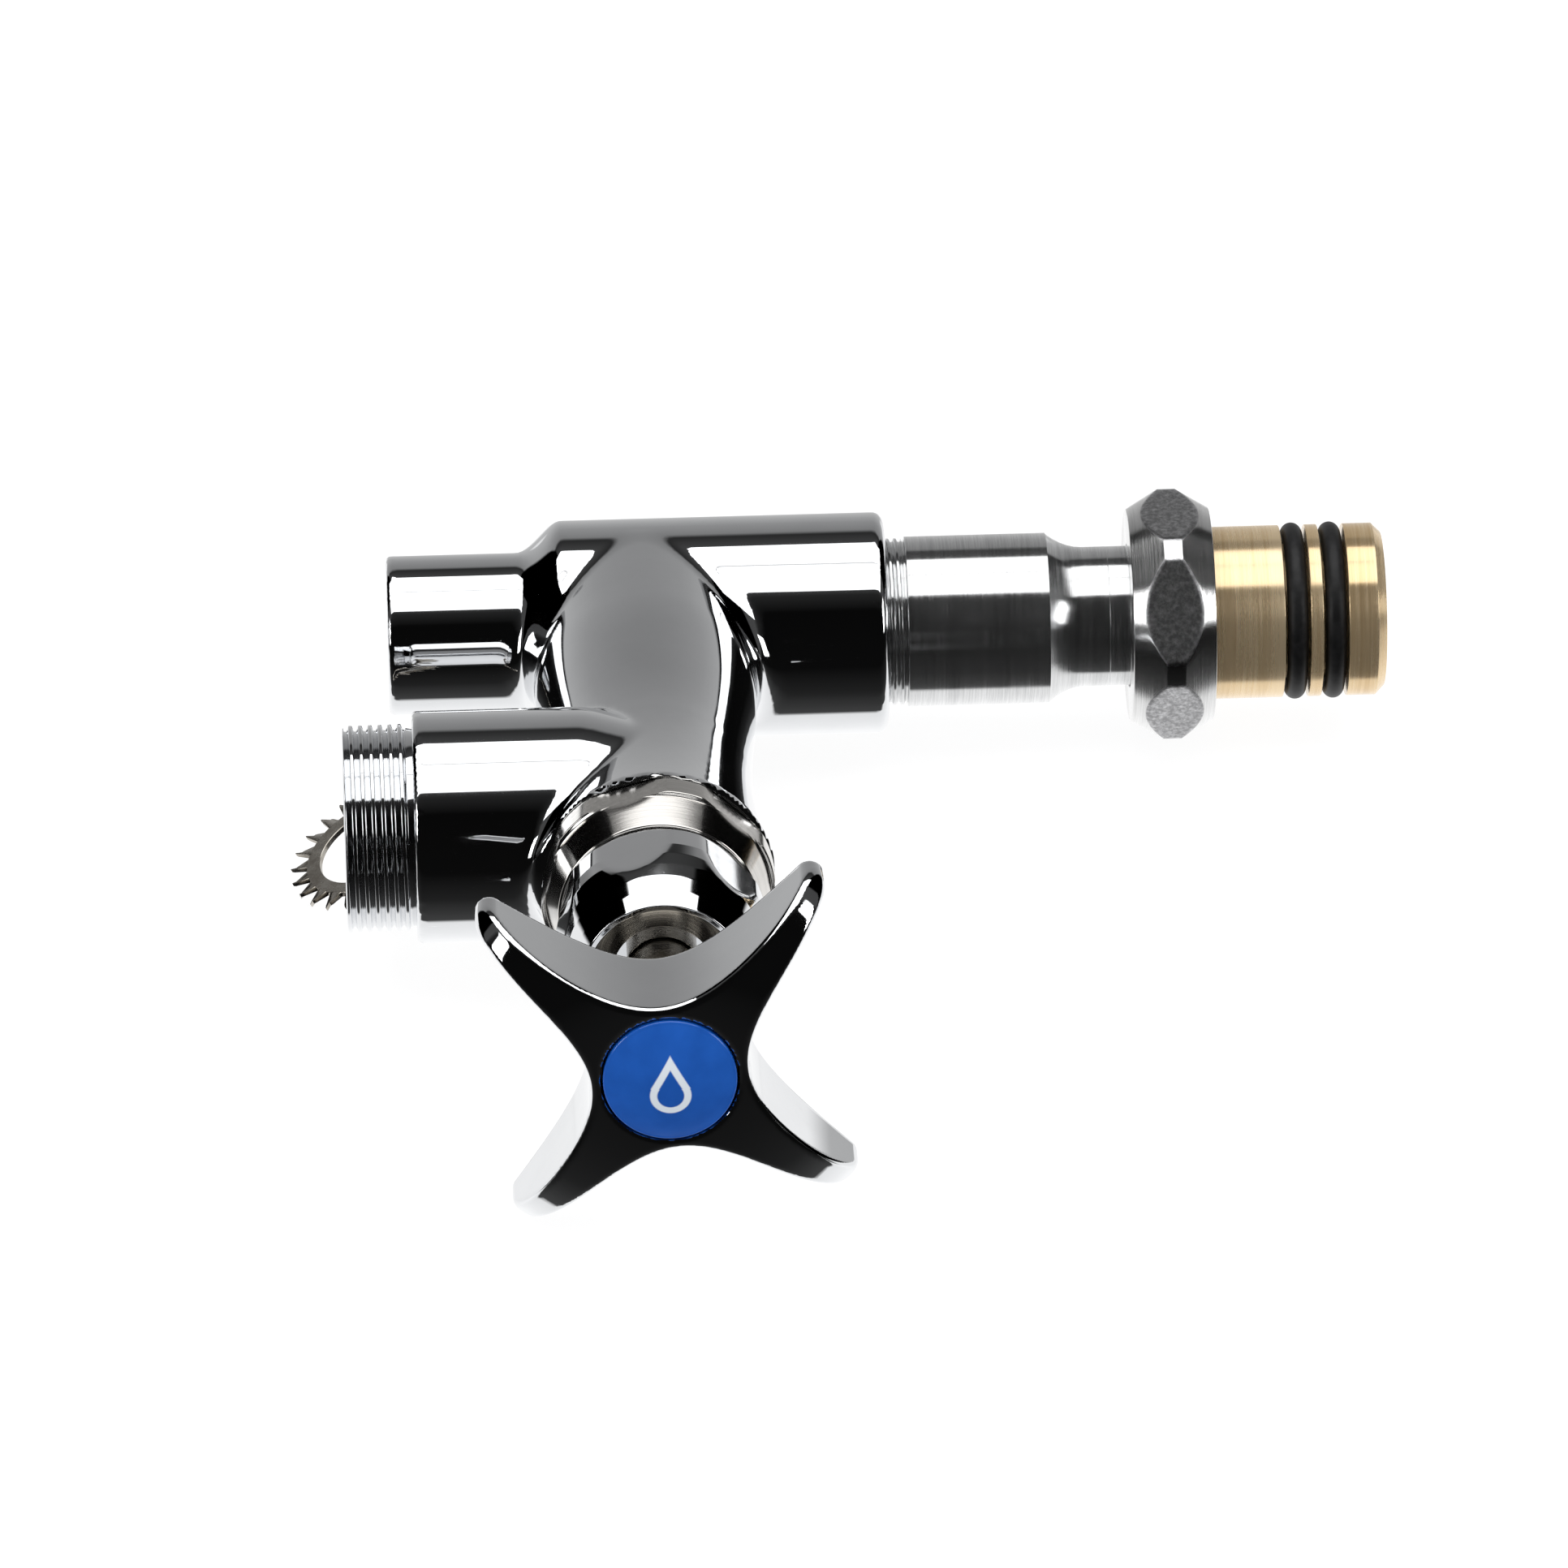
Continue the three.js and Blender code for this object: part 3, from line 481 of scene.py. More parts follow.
PIPE_RADIUS = 14.8
PORT_RADIUS = 10.65
PORT_END = -34.0
INLET_END = 32.7
RIM_REACH = 70.7
WAIST_REACH = 48.0
OUTLET_REACH = 54.5
OUTLET_RADIUS = 15.1
OUTLET_SHOULDER = -31.15
OUTLET_BORE = 11.65


def smooth(value, low, high):
    """Smooth rise from 0 to 1, and its slope."""
    share = np.clip((value - low) / (high - low), 0, 1)
    return share**2 * (3 - 2 * share), 6 * share * (1 - share) / (high - low)


def fillet_for(radius, z, first, second):
    """Fillet radius that keeps its true depth where two crossed tubes run parallel.

    The tubes' normals meet at the angle whose cosine is z^2 / (first * second).
    """
    cosine = np.clip(z**2 / np.maximum(first * second, 1.0), 0, 1)
    return radius * (1 / np.sqrt((1 + cosine) / 2) - 1) / (math.sqrt(2) - 1) + 0.25


def casting(x, y, z):
    """Distance, in millimetres, from the casting: barrel, column and outlet joined, bores cut."""
    reach = -y
    pipe, stem = np.hypot(reach, z), np.hypot(x, z)
    out = np.hypot(reach - OUTLET_REACH, z)
    grown, slope = smooth(x, -16.6, -10.4)
    step = PIPE_RADIUS - PORT_RADIUS
    barrel = (pipe - PORT_RADIUS - step * grown) / np.sqrt(1 + (step * slope) ** 2)
    barrel = trimmed(trimmed(barrel, PORT_END - x, 0.7), x - INLET_END, 1.5)
    neck, _ = smooth(reach, 18.0, 46.0)
    bell = 2.2 * np.maximum((reach - WAIST_REACH) / (RIM_REACH - WAIST_REACH), 0) ** 1.8
    column = trimmed(stem - (14.7 - 1.5 * neck + bell), np.maximum(reach - RIM_REACH, -reach), 0.35)
    merge, _ = smooth(x, -10.0, 2.0)
    tube = trimmed(out - (OUTLET_RADIUS - 2.4 * merge), OUTLET_SHOULDER - x, 0.7)
    tube = np.maximum(tube, x - 3.0)
    body = united(barrel, column, fillet_for(4.4, z, pipe, stem))
    body = united(body, tube, fillet_for(3.2, z, out, stem))
    bores = (
        (np.maximum(pipe - 8.3, x + 22.0), 0.45),
        (pipe - 7.2, 0.3),
        (np.maximum(pipe - 11.5, 16.7 - x), 0.3),
        (np.maximum(stem - 5.0, -reach), 0.3),
        (np.maximum(stem - 7.8, 14.7 - reach), 0.3),
        (np.maximum(stem - 9.5, 22.0 - reach), 0.3),
        (np.maximum(stem - 11.5, 61.5 - reach), 0.3),
        (np.maximum(out - OUTLET_BORE, x + 22.2), 0.3),
        (np.maximum(out - 6.8, x), 0.3),
    )
    for bore, edge in bores:
        body = trimmed(body, -bore, edge)
    return body


plate = chrome_plate("polished_chrome_plate", 0.10)
cast_points, cast_faces = skin(casting, (-35.0, -72.0, -16.6), (34.0, 16.6, 16.6), 0.56)

THREAD_PITCH = 1.27
THREAD_CREST = 13.49
THREAD_ROOT = 12.74
THREAD_END = -40.2


def helix(along, angle, pitch, start, end, fade):
    """Height of a thread from 0 at the root to 1 at the crest, run out over `fade` at its ends."""
    phase = (along / pitch + angle / (2 * math.pi)) % 1.0
    ridge = np.clip(1.35 - 2.7 * np.abs(phase - 0.5), 0, 1)
    ridge = ridge * ridge * (3 - 2 * ridge)
    return ridge * np.clip((along - start) / fade, 0, 1) * np.clip((end - along) / fade, 0, 1)


thread_angle = np.arange(THREAD_COLUMNS) * 2 * math.pi / THREAD_COLUMNS
outer_x = np.linspace(THREAD_END + 0.02, OUTLET_SHOULDER - 0.75, 118)
outer_r = THREAD_ROOT + (THREAD_CREST - THREAD_ROOT) * helix(
    outer_x[:, None], thread_angle, THREAD_PITCH, THREAD_END - 0.2, OUTLET_SHOULDER - 0.6, 0.35
)
lip_x = np.array([THREAD_END + 0.35, THREAD_END + 0.1, THREAD_END, THREAD_END])
lip_r = np.array([OUTLET_BORE - 0.02, OUTLET_BORE + 0.05, OUTLET_BORE + 0.3, THREAD_ROOT - 0.15])
root_x = np.array([OUTLET_SHOULDER + 0.15, OUTLET_SHOULDER + 0.15])
root_r = np.array([THREAD_ROOT, OUTLET_BORE - 0.02])
thread_x = np.concatenate([lip_x, outer_x, root_x])
thread_r = np.concatenate([
    np.repeat(lip_r[:, None], THREAD_COLUMNS, 1), outer_r,
    np.repeat(root_r[:, None], THREAD_COLUMNS, 1)])
thread_points, thread_faces, _ = turned(thread_x, thread_r, centre=OUTLET_REACH)
add_piece(
    "body_casting",
    np.concatenate([cast_points, thread_points]),
    np.concatenate([cast_faces, thread_faces + len(cast_points)]),
    plate, "valve", ["valve_body"], sharp=50.0,
)


# ------------------------------------------------------------------ inlet nipple
# Bright turned steel pressed into the barrel: a fine thread, a shoulder, a plain cylinder and a
# hollow flare down to the neck on which the coupling nut runs. The lathe left fine rings.
def turned_metal(name, colour, rough, rings, depth, direction=0.75, tint=None, axis=0, metal=1.0):
    """Lathe-turned metal: rings across the axis in roughness and height, stretched highlights."""
    material, tree, shader, coordinates = new_material(name)
    shader.inputs["Metallic"].default_value = metal
    stretch = [0.02, 0.02, 0.02]
    stretch[axis] = 1.0
    fine = speckle(tree, coordinates, rings, 4.0, stretch, 0.7)
    broad = speckle(tree, coordinates, rings * 0.12, 3.0, stretch)
    smudge = speckle(tree, coordinates, 140.0, 4.0)
    mixed = calc(tree, "MULTIPLY_ADD", fine, 0.6, calc(tree, "MULTIPLY", broad, 0.4))
    dark = tint or tuple(0.86 * c for c in colour)
    tree.links.new(ramp(tree, mixed, [(0.36, dark), (0.6, colour)]), shader.inputs["Base Color"])
    worn = spread(tree, mixed, 0.3, 0.7, rough * 0.7, rough * 1.3)
    tree.links.new(
        calc(tree, "MULTIPLY_ADD", spread(tree, smudge, 0.6, 0.8, 0.0, 1.0), 0.10, worn),
        shader.inputs["Roughness"],
    )
    shader.inputs["Anisotropic"].default_value = direction
    shader.inputs["Anisotropic Rotation"].default_value = 0.25
    tangent = new_node(tree, "Tangent", direction_type="RADIAL", axis="XYZ"[axis])
    tree.links.new(tangent.outputs[0], shader.inputs["Tangent"])
    raise_by(tree, shader, fine, depth, 0.0001)
    return material


steel = turned_metal(
    "bright_turned_steel", (0.80, 0.805, 0.81), rough=0.17, rings=5200.0, depth=0.10,
    direction=0.88, tint=(0.60, 0.605, 0.61), metal=0.975)
nipple_x, nipple_r = outline([
    (17.0, 6.5, 0.2), (80.7, 6.5, 0.2), (80.7, 8.5, 0.3), (69.7, 8.5, 0.1), (69.7, 9.35, 0.2),
    (65.38, 9.35, 0), (65.33, 9.31, 0), (65.28, 9.35, 0), (62.45, 9.35, 0), (62.4, 9.31, 0),
    (62.35, 9.35, 0), (59.2, 9.35, 0), (58.2, 9.43, 0), (57.2, 9.68, 0), (56.2, 10.10, 0),
    (55.3, 10.62, 0), (54.7, 11.06, 0), (54.3, 11.4, 0), (54.0, 11.4, 0), (35.4, 11.4, 0.15),
    (35.25, 10.75, 0), (35.1, 10.75, 0), (17.0, 10.75, 0.2),
])
nipple_r = np.repeat(nipple_r[:, None], TURNED_COLUMNS, 1)

# The fine thread goes in behind the shoulder, after the profile's outside comes down to it.
SHOULDER = 35.11
FIRST_OUTSIDE_ROW = 12
fine_x = np.linspace(32.4, 35.05, 56)
turns = np.arange(TURNED_COLUMNS) * 2 * math.pi / TURNED_COLUMNS
fine_r = 10.72 + 0.48 * helix(fine_x[:, None], turns, 1.0, 31.0, 35.3, 0.3)
behind_shoulder = (np.arange(len(nipple_x)) > FIRST_OUTSIDE_ROW) & (nipple_x <= SHOULDER)
cut = int(np.argmax(behind_shoulder)) + 1
nipple_x = np.concatenate([nipple_x[:cut], fine_x[::-1], nipple_x[cut:]])
nipple_r = np.concatenate([nipple_r[:cut], fine_r[::-1], nipple_r[cut:]])
points, faces, uv = turned(nipple_x, nipple_r)
add_piece(
    "nipple_turned", points, faces, steel, "valve", ["inlet_nipple"], uv, 30.0)


# ------------------------------------------------------------------ swivel sleeve
# Brass turned on a screw machine, left unplated: two O-ring grooves, a chamfered nose and a
# flange that the slip ring holds. Its tool marks show as bands of tan, cream and gold.
brass = turned_metal(
    "brushed_brass", (0.92, 0.73, 0.47), rough=0.26, rings=2600.0, depth=0.10,
    direction=0.93, tint=(0.74, 0.53, 0.29), metal=0.78)
sleeve_x, sleeve_r = outline([
    (70.0, 8.8, 0.2), (81.0, 8.8, 0.1), (81.0, 7.6, 0.1), (99.3, 7.6, 0.35), (99.3, 10.35, 0.1),
    (98.1, 11.55, 0.15), (94.2, 11.55, 0.15), (94.2, 9.0, 0.3), (90.8, 9.0, 0.3),
    (90.8, 11.55, 0.15), (89.1, 11.55, 0.15), (89.1, 9.0, 0.3), (85.7, 9.0, 0.3),
    (85.7, 11.55, 0.15), (72.4, 11.55, 0.2), (72.4, 12.9, 0.2), (70.0, 12.9, 0.2),
])
points, faces, uv = turned(sleeve_x, sleeve_r)
add_piece(
    "sleeve_turned", points, faces, brass, "valve", ["swivel_sleeve"], uv, 30.0)


# ------------------------------------------------------------------ O-rings
# Two moulded nitrile rings stretched into the grooves, matt black, standing a little proud.
material, tree, shader, coordinates = new_material("nitrile_rubber")
shader.inputs["Roughness"].default_value = 0.48
shader.inputs["Specular IOR Level"].default_value = 0.35
grain = speckle(tree, coordinates, 900.0, 4.0)
tree.links.new(
    ramp(tree, grain, [(0.4, (0.004, 0.004, 0.0045)), (0.75, (0.010, 0.010, 0.011))]),
    shader.inputs["Base Color"],
)
raise_by(tree, shader, grain, 0.10, 0.0001)
rubber = material
CORD_RADIUS = 1.38
CORD_CENTRE = 10.45
CORD_SIDES = 40
section = np.arange(CORD_SIDES) * 2 * math.pi / CORD_SIDES
for name, middle in (("o_ring_inner", 87.4), ("o_ring_outer", 92.5)):
    points, faces, uv = turned(
        middle + CORD_RADIUS * np.cos(section), CORD_CENTRE + CORD_RADIUS * np.sin(section))
    add_piece("moulded_" + name, points, faces, rubber, "valve", [name], uv, 60.0)


# ------------------------------------------------------------------ coupling nut
# A hexagon nut with a land between turned cones. Its flats are left sandblasted and the cones
# are cut bright, so each flat ends in a curved edge.
def hexed(along, envelope, across_flats, first_corner, columns=540, power=170.0):
    """A turned envelope cut by a hexagon: the smooth minimum of the two radii."""
    angle = np.arange(columns) * 2 * math.pi / columns
    sector = (angle - first_corner) % (math.pi / 3) - math.pi / 6
    flat = across_flats / 2 / np.cos(sector)
    ratio = envelope[:, None] / flat[None]
    return envelope[:, None] / (1 + ratio**power) ** (1 / power)


def satin_hex(
        name, blast, cut, axis, across_flats, first_corner, centre,
        blast_rough, cut_rough, coarse):
    """Bright turned faces with blasted flats, told apart by the height over each flat's plane."""
    material, tree, shader, coordinates = new_material(name)
    shader.inputs["Metallic"].default_value = 1.0
    split_axes = new_node(tree, "SeparateXYZ", Vector=coordinates)
    if axis == 0:
        forward = calc(tree, "MULTIPLY", split_axes.outputs[1], -1.0)
        across = calc(tree, "SUBTRACT", forward, -centre[1])
    else:
        across = calc(tree, "SUBTRACT", split_axes.outputs[0], centre[0])
    rise = calc(tree, "SUBTRACT", split_axes.outputs[2], centre[2])
    nearest = None
    for k in range(6):
        normal = first_corner + math.pi / 6 + k * math.pi / 3
        reach = calc(
            tree, "MULTIPLY_ADD", across, math.cos(normal),
            calc(tree, "MULTIPLY", rise, math.sin(normal)))
        nearest = reach if nearest is None else calc(tree, "MAXIMUM", nearest, reach)
    plane = across_flats / 2000
    on_flat = smooth_step(tree, nearest, plane - 0.00022, plane - 0.00012)
    grit = speckle(tree, coordinates, 1500.0, 3.0, roughness=0.7)
    stretch = [0.02, 0.02, 0.02]
    stretch[axis] = 1.0
    rings = speckle(tree, coordinates, 3200.0, 4.0, stretch, 0.7)
    blasted = ramp(tree, grit, [
        (0.40, tuple((1 - 0.5 * coarse) * c for c in blast)), (0.55, blast),
        (0.72, tuple(min(1.0, (1 + 0.6 * coarse) * c) for c in blast))])
    turned_face = ramp(tree, rings, [(0.35, tuple(0.85 * c for c in cut)), (0.65, cut)])
    colour = new_node(tree, "MixRGB", Fac=on_flat, Color1=turned_face, Color2=blasted)
    tree.links.new(colour.outputs[0], shader.inputs["Base Color"])
    tree.links.new(
        spread(tree, on_flat, 0.0, 1.0, cut_rough, blast_rough), shader.inputs["Roughness"])
    shader.inputs["Anisotropic"].default_value = 0.8
    shader.inputs["Anisotropic Rotation"].default_value = 0.25
    tangent = new_node(tree, "Tangent", direction_type="RADIAL", axis="XYZ"[axis])
    tree.links.new(tangent.outputs[0], shader.inputs["Tangent"])
    height = new_node(tree, "MixRGB", Fac=on_flat, Color1=rings, Color2=grit)
    raise_by(tree, shader, height.outputs[0], 0.22 * coarse, 0.00012)
    return material


NUT_FLATS = 30.7
NUT_CORNER = math.radians(28.0 - 30.0)
satin = satin_hex(
    "sandblasted_and_turned_steel", (0.46, 0.46, 0.47), (0.82, 0.82, 0.82), 0,
    NUT_FLATS, NUT_CORNER, CROSSING, blast_rough=0.33, cut_rough=0.20, coarse=0.7)
nut_x, nut_r = outline([
    (65.2, 9.65, 0.2), (68.4, 9.65, 0.15), (68.4, 13.6, 0.2), (76.3, 13.6, 0.25),
    (76.3, 14.2, 0.15), (71.95, 16.8, 0.25), (69.55, 16.8, 0.25), (65.2, 14.2, 0.25),
], 0.22)
outside = nut_r > 14.1
radius = hexed(nut_x, nut_r, NUT_FLATS, NUT_CORNER)
radius = np.where(outside[:, None], radius, nut_r[:, None])
points, faces, uv = turned(nut_x, radius)
add_piece(
    "coupling_nut_hex", points, faces, satin, "coupling_nut", ["coupling_nut"],
    uv, 28.0)


# ------------------------------------------------------------------ bonnet
# A screwed bonnet in dull nickel: a short hexagon with rounded corners, a brushed cone, and a
# neck on which the packing nut turns.
BONNET_FLATS = 28.6
BONNET_CORNER = math.radians(16.0)
nickel = satin_hex(
    "satin_nickel_plate", (0.66, 0.64, 0.61), (0.72, 0.70, 0.67), 1,
    BONNET_FLATS, BONNET_CORNER, CROSSING, blast_rough=0.15, cut_rough=0.12, coarse=0.15)
bonnet_t, bonnet_r = outline([
    (61.9, 6.35, 0.1), (75.1, 6.35, 0.1), (75.1, 4.85, 0.1), (90.0, 4.85, 0.1), (90.0, 9.7, 0.3),
    (80.0, 9.7, 0), (80.0, 13.0, 0.2), (75.0, 14.6, 0.2), (75.0, 15.2, 0.2), (71.0, 15.2, 0.5),
    (71.0, 11.2, 0.1), (61.9, 11.2, 0.2),
], 0.25)
outside = bonnet_r > 13.2
radius = hexed(bonnet_t, bonnet_r, BONNET_FLATS, BONNET_CORNER)
radius = np.where(outside[:, None], radius, bonnet_r[:, None])
points, faces, uv = turned(bonnet_t, radius, "stem")
add_piece("bonnet_hex", points, faces, nickel, "valve", ["bonnet"], uv, 28.0)


# ------------------------------------------------------------------ packing nut
# A chromed hexagon nut turned down to a long cone, so its flats end in grey arches. The front
# is hollowed round the stem.
PACKING_FLATS = 25.4
PACKING_CORNER = math.radians(15.0)
packing_plate = chrome_plate("packing_nut_chrome", 0.05)
packing_t, packing_r = outline([
    (80.3, 10.1, 0.2), (93.6, 10.1, 0.1), (93.6, 4.8, 0.1), (95.0, 4.8, 0.1), (95.0, 6.4, 0.1),
    (97.0, 9.8, 0.2), (97.0, 10.5, 0.25), (94.5, 11.41, 0), (92.0, 12.24, 0),
    (90.0, 12.81, 0), (88.0, 13.29, 0), (86.0, 13.6, 0.1), (82.2, 13.6, 0.2), (80.3, 12.6, 0.3),
], 0.25)
radius = hexed(packing_t, packing_r, PACKING_FLATS, PACKING_CORNER)
outside = (packing_r > 10.55) | ((packing_r > 10.2) & (packing_t > 96.0))
radius = np.where(outside[:, None], radius, packing_r[:, None])
points, faces, uv = turned(packing_t, radius, "stem")
add_piece(
    "packing_nut_hex", points, faces, packing_plate, "valve", ["packing_nut"],
    uv, 28.0)


# ------------------------------------------------------------------ spindle
# Bare brass stem: a swivel button at the foot, a quick thread, a polished shank and a square.
oiled = turned_metal(
    "oiled_brass", (0.34, 0.31, 0.26), rough=0.24, rings=2600.0, depth=0.15,
    direction=0.4, tint=(0.24, 0.21, 0.17), axis=1)
bare = turned_metal(
    "bare_brass", (0.82, 0.66, 0.42), rough=0.22, rings=2600.0, depth=0.15,
    direction=0.4, tint=(0.60, 0.45, 0.25), axis=1)
stem_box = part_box("spindle")
spindle_foot = (CROSSING[1] - stem_box[1][1]) * 1000
spindle_tip = (CROSSING[1] - stem_box[0][1]) * 1000
BELOW_THREAD = 7
HALF_SQUARE = 3.18
SQUARE_START = 107.8
spindle_profile = [
    (spindle_foot, 0.0), (spindle_foot, 5.3), (spindle_foot + 0.3, 5.6), (spindle_foot + 1.6, 5.6),
    (spindle_foot + 1.9, 4.5), (62.5, 4.5), (62.8, 5.4), (74.2, 5.4), (74.5, 4.5), (107.9, 4.5),
    (108.2, 4.3), (108.2, 0.0),
]
spindle_t, spindle_r = (np.array(side) for side in zip(*spindle_profile))
quick_t = np.linspace(62.9, 74.1, 150)
quick_r = 5.3 + 0.65 * helix(quick_t[:, None], turns, 3.0, 62.6, 74.4, 0.6)
spindle_r = np.repeat(spindle_r[:, None], TURNED_COLUMNS, 1)
spindle_t = np.concatenate([spindle_t[:BELOW_THREAD], quick_t, spindle_t[BELOW_THREAD:]])
spindle_r = np.concatenate([spindle_r[:BELOW_THREAD], quick_r, spindle_r[BELOW_THREAD:]])
points, faces, _ = turned(spindle_t, spindle_r, "stem", closed=False)
square = HALF_SQUARE * np.array([(-1, -1), (1, -1), (1, 1), (-1, 1)])
tang = np.array([(x, y, z) for y in (-SQUARE_START, -spindle_tip) for x, z in square])
tang_faces = np.array([
    (3, 2, 1, 0), (4, 5, 6, 7), (1, 5, 4, 0), (2, 6, 5, 1), (3, 7, 6, 2), (0, 4, 7, 3)])
add_piece(
    "spindle_turned",
    np.concatenate([points, tang]),
    np.concatenate([faces, tang_faces + len(points)]),
    oiled, "stem", ["spindle"], None, 30.0)


# ------------------------------------------------------------------ handle
# A four-armed chromed casting. Between the arms the sides are hollowed as one hyperbola per
# quarter, x * y = waist^2 / 2, and the front is a flat-topped dome that falls to the tips.
WAIST = 10.1
TIP_RADIUS = 1.78
TIP_CENTRE = 28.65
FIRST_ARM = math.radians(50.5)
DOME_REACH = 31.3
HANDLE_BACK = 109.2
HANDLE_DEPTH = 14.2
BUTTON_RECESS = 8.75
BUTTON_SEAT = 120.0
SCREW_RECESS = 4.5
WEB_FRONT = 117.0
WEB_BACK = 115.9
HALF_SOCKET = 3.48


def handle_field(x, y, z):
    """Distance, in millimetres, from the handle: an outline and a dome, recess and socket cut."""
    reach = -y
    turned_x = x * math.cos(FIRST_ARM) + z * math.sin(FIRST_ARM)
    turned_z = -x * math.sin(FIRST_ARM) + z * math.cos(FIRST_ARM)
    along = np.maximum(np.abs(turned_x), np.abs(turned_z))
    across = np.minimum(np.abs(turned_x), np.abs(turned_z))
    radius = np.hypot(along, across)
    hollow = (along * across - WAIST**2 / 2) / np.maximum(radius, 1.0)
    cap = np.hypot(np.maximum(along - TIP_CENTRE, 0), across) - TIP_RADIUS
    side = np.where(along > TIP_CENTRE, cap, np.maximum(hollow, along - TIP_CENTRE - TIP_RADIUS))
    share = np.minimum(radius / DOME_REACH, 0.9999)
    rear = HANDLE_BACK + 1.2 * share**2
    lift = (1 - share**4) ** 0.6
    slope = HANDLE_DEPTH * 2.4 * share**3 * (1 - share**4) ** -0.4 / DOME_REACH
    front = (reach - (rear + HANDLE_DEPTH * lift)) / np.sqrt(1 + slope**2)
    body = trimmed(trimmed(side, front, 0.75), rear - reach, 0.9)
    body = trimmed(body, -np.maximum(radius - BUTTON_RECESS, BUTTON_SEAT - reach), 0.25)
    body = trimmed(body, -np.maximum(radius - SCREW_RECESS, WEB_FRONT - reach), 0.2)
    socket = np.maximum(np.abs(x), np.abs(z)) - HALF_SOCKET
    return trimmed(body, -np.maximum(socket, reach - WEB_BACK), 0.2)


handle_plate = chrome_plate("handle_chrome_plate", 0.06)
handle_points, handle_faces = skin(
    handle_field, (-24.8, -124.9, -24.8), (24.8, -108.2, 24.8), 0.34)
add_piece(
    "handle_casting", handle_points, handle_faces, handle_plate,
    "stem", ["handle"], None, 50.0)


# ------------------------------------------------------------------ index button
# The blue cold-water button: a glossy moulded dome with a thin rim, and a plain water drop
# printed on its face in pale ink.
material, tree, shader, coordinates = new_material("blue_plastic")
shader.inputs["Roughness"].default_value = 0.22
shader.inputs["Coat Weight"].default_value = 0.5
shader.inputs["Coat Roughness"].default_value = 0.06
shader.inputs["Subsurface Weight"].default_value = 0.05
shader.inputs["Subsurface Radius"].default_value = (0.0004, 0.0006, 0.0012)
clouds = speckle(tree, coordinates, 260.0, 3.0)
moulded = ramp(tree, clouds, [(0.35, (0.006, 0.082, 0.40)), (0.7, (0.009, 0.10, 0.47))])
drop_ink = new_node(tree, "Attribute", attribute_name="ink").outputs["Fac"]
shade = new_node(tree, "MixRGB", Fac=drop_ink, Color1=moulded)
shade.inputs["Color2"].default_value = (0.72, 0.78, 0.84, 1.0)
tree.links.new(shade.outputs[0], shader.inputs["Base Color"])
raise_by(tree, shader, speckle(tree, coordinates, 700.0, 2.0), 0.05, 0.0001)
BUTTON_RADIUS = 8.45
BUTTON_BASE = 120.3
BUTTON_RIM = 123.7
BUTTON_DOME = 1.9
BUTTON_ROUND = 0.35
DOME_ZERO = 8.1
edge = np.linspace(0, math.pi / 2, 9)
crown = np.linspace(7.9, 0.0, 90)
button_rho = np.concatenate([
    [0.0, 6.0], [BUTTON_RADIUS - 0.2, BUTTON_RADIUS], [BUTTON_RADIUS],
    BUTTON_RADIUS - BUTTON_ROUND + BUTTON_ROUND * np.cos(edge), crown])
button_t = np.concatenate([
    [BUTTON_BASE, BUTTON_BASE], [BUTTON_BASE, BUTTON_BASE + 0.2], [BUTTON_RIM - 0.5],
    BUTTON_RIM - BUTTON_ROUND + BUTTON_ROUND * np.sin(edge),
    BUTTON_RIM + BUTTON_DOME * (1 - (crown / DOME_ZERO) ** 2)])
radius = np.repeat(button_rho[:, None], THREAD_COLUMNS, 1)

# The drop is a circle below and two straight sides above that meet in a tip. Its ink is a line
# just inside that outline.
DROP_RADIUS = 2.6
DROP_BELOW = 1.2
DROP_TIP = 4.3
DROP_STEEPNESS = 1.8
DROP_SHOULDER = -0.2
INK_HALF = 0.45
INK_EDGE = 0.12
drop_x = radius * np.cos(thread_angle)
drop_z = radius * np.sin(thread_angle)
circle = np.hypot(drop_x, drop_z + DROP_BELOW) - DROP_RADIUS
taper = (np.abs(drop_x) * DROP_STEEPNESS + drop_z - DROP_TIP) / 2.06
drop = np.where(drop_z > DROP_SHOULDER, taper, circle)
printed = np.clip(0.5 + (INK_HALF - np.abs(drop + INK_HALF)) / INK_EDGE, 0, 1)
printed = printed * (button_t > BUTTON_RIM)[:, None]
points, faces, uv = turned(button_t, radius, "stem", closed=False)
button = add_piece(
    "index_button_moulded", points, faces, material, "stem", ["index_button"],
    uv, 35.0)
ink = button.data.attributes.new("ink", "FLOAT", "POINT")
ink.data.foreach_set("value", printed.astype(np.float32).ravel())


# ------------------------------------------------------------------ star washer
# A loose lock washer of nickelled spring steel that leans on the back of the outlet. Its teeth
# are twisted out of the plane.
material, tree, shader, coordinates = new_material("nickelled_spring_steel")
shader.inputs["Metallic"].default_value = 1.0
tarnish = speckle(tree, coordinates, 330.0, 5.0, roughness=0.7)
tarnished = ramp(tree, tarnish, [
    (0.3, (0.30, 0.27, 0.23)), (0.55, (0.48, 0.45, 0.40)), (0.75, (0.60, 0.58, 0.54))])
tree.links.new(tarnished, shader.inputs["Base Color"])
tree.links.new(spread(tree, tarnish, 0.3, 0.7, 0.16, 0.34), shader.inputs["Roughness"])
raise_by(tree, shader, speckle(tree, coordinates, 1500.0, 3.0), 0.15, 0.0001)
TEETH = 22
TOOTH_COLUMNS = 24
TOOTH_ROOT = 8.95
TOOTH_LENGTH = 2.2
TOOTH_TWIST = 0.5
washer_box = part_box("star_washer")
washer_centre = (np.array(washer_box[0]) + np.array(washer_box[1])) / 2 - np.array(CROSSING)
washer_turn = np.array((
    Matrix.Rotation(math.radians(9.0), 3, "X")
    @ Matrix.Rotation(math.radians(-26.0), 3, "Y")
))
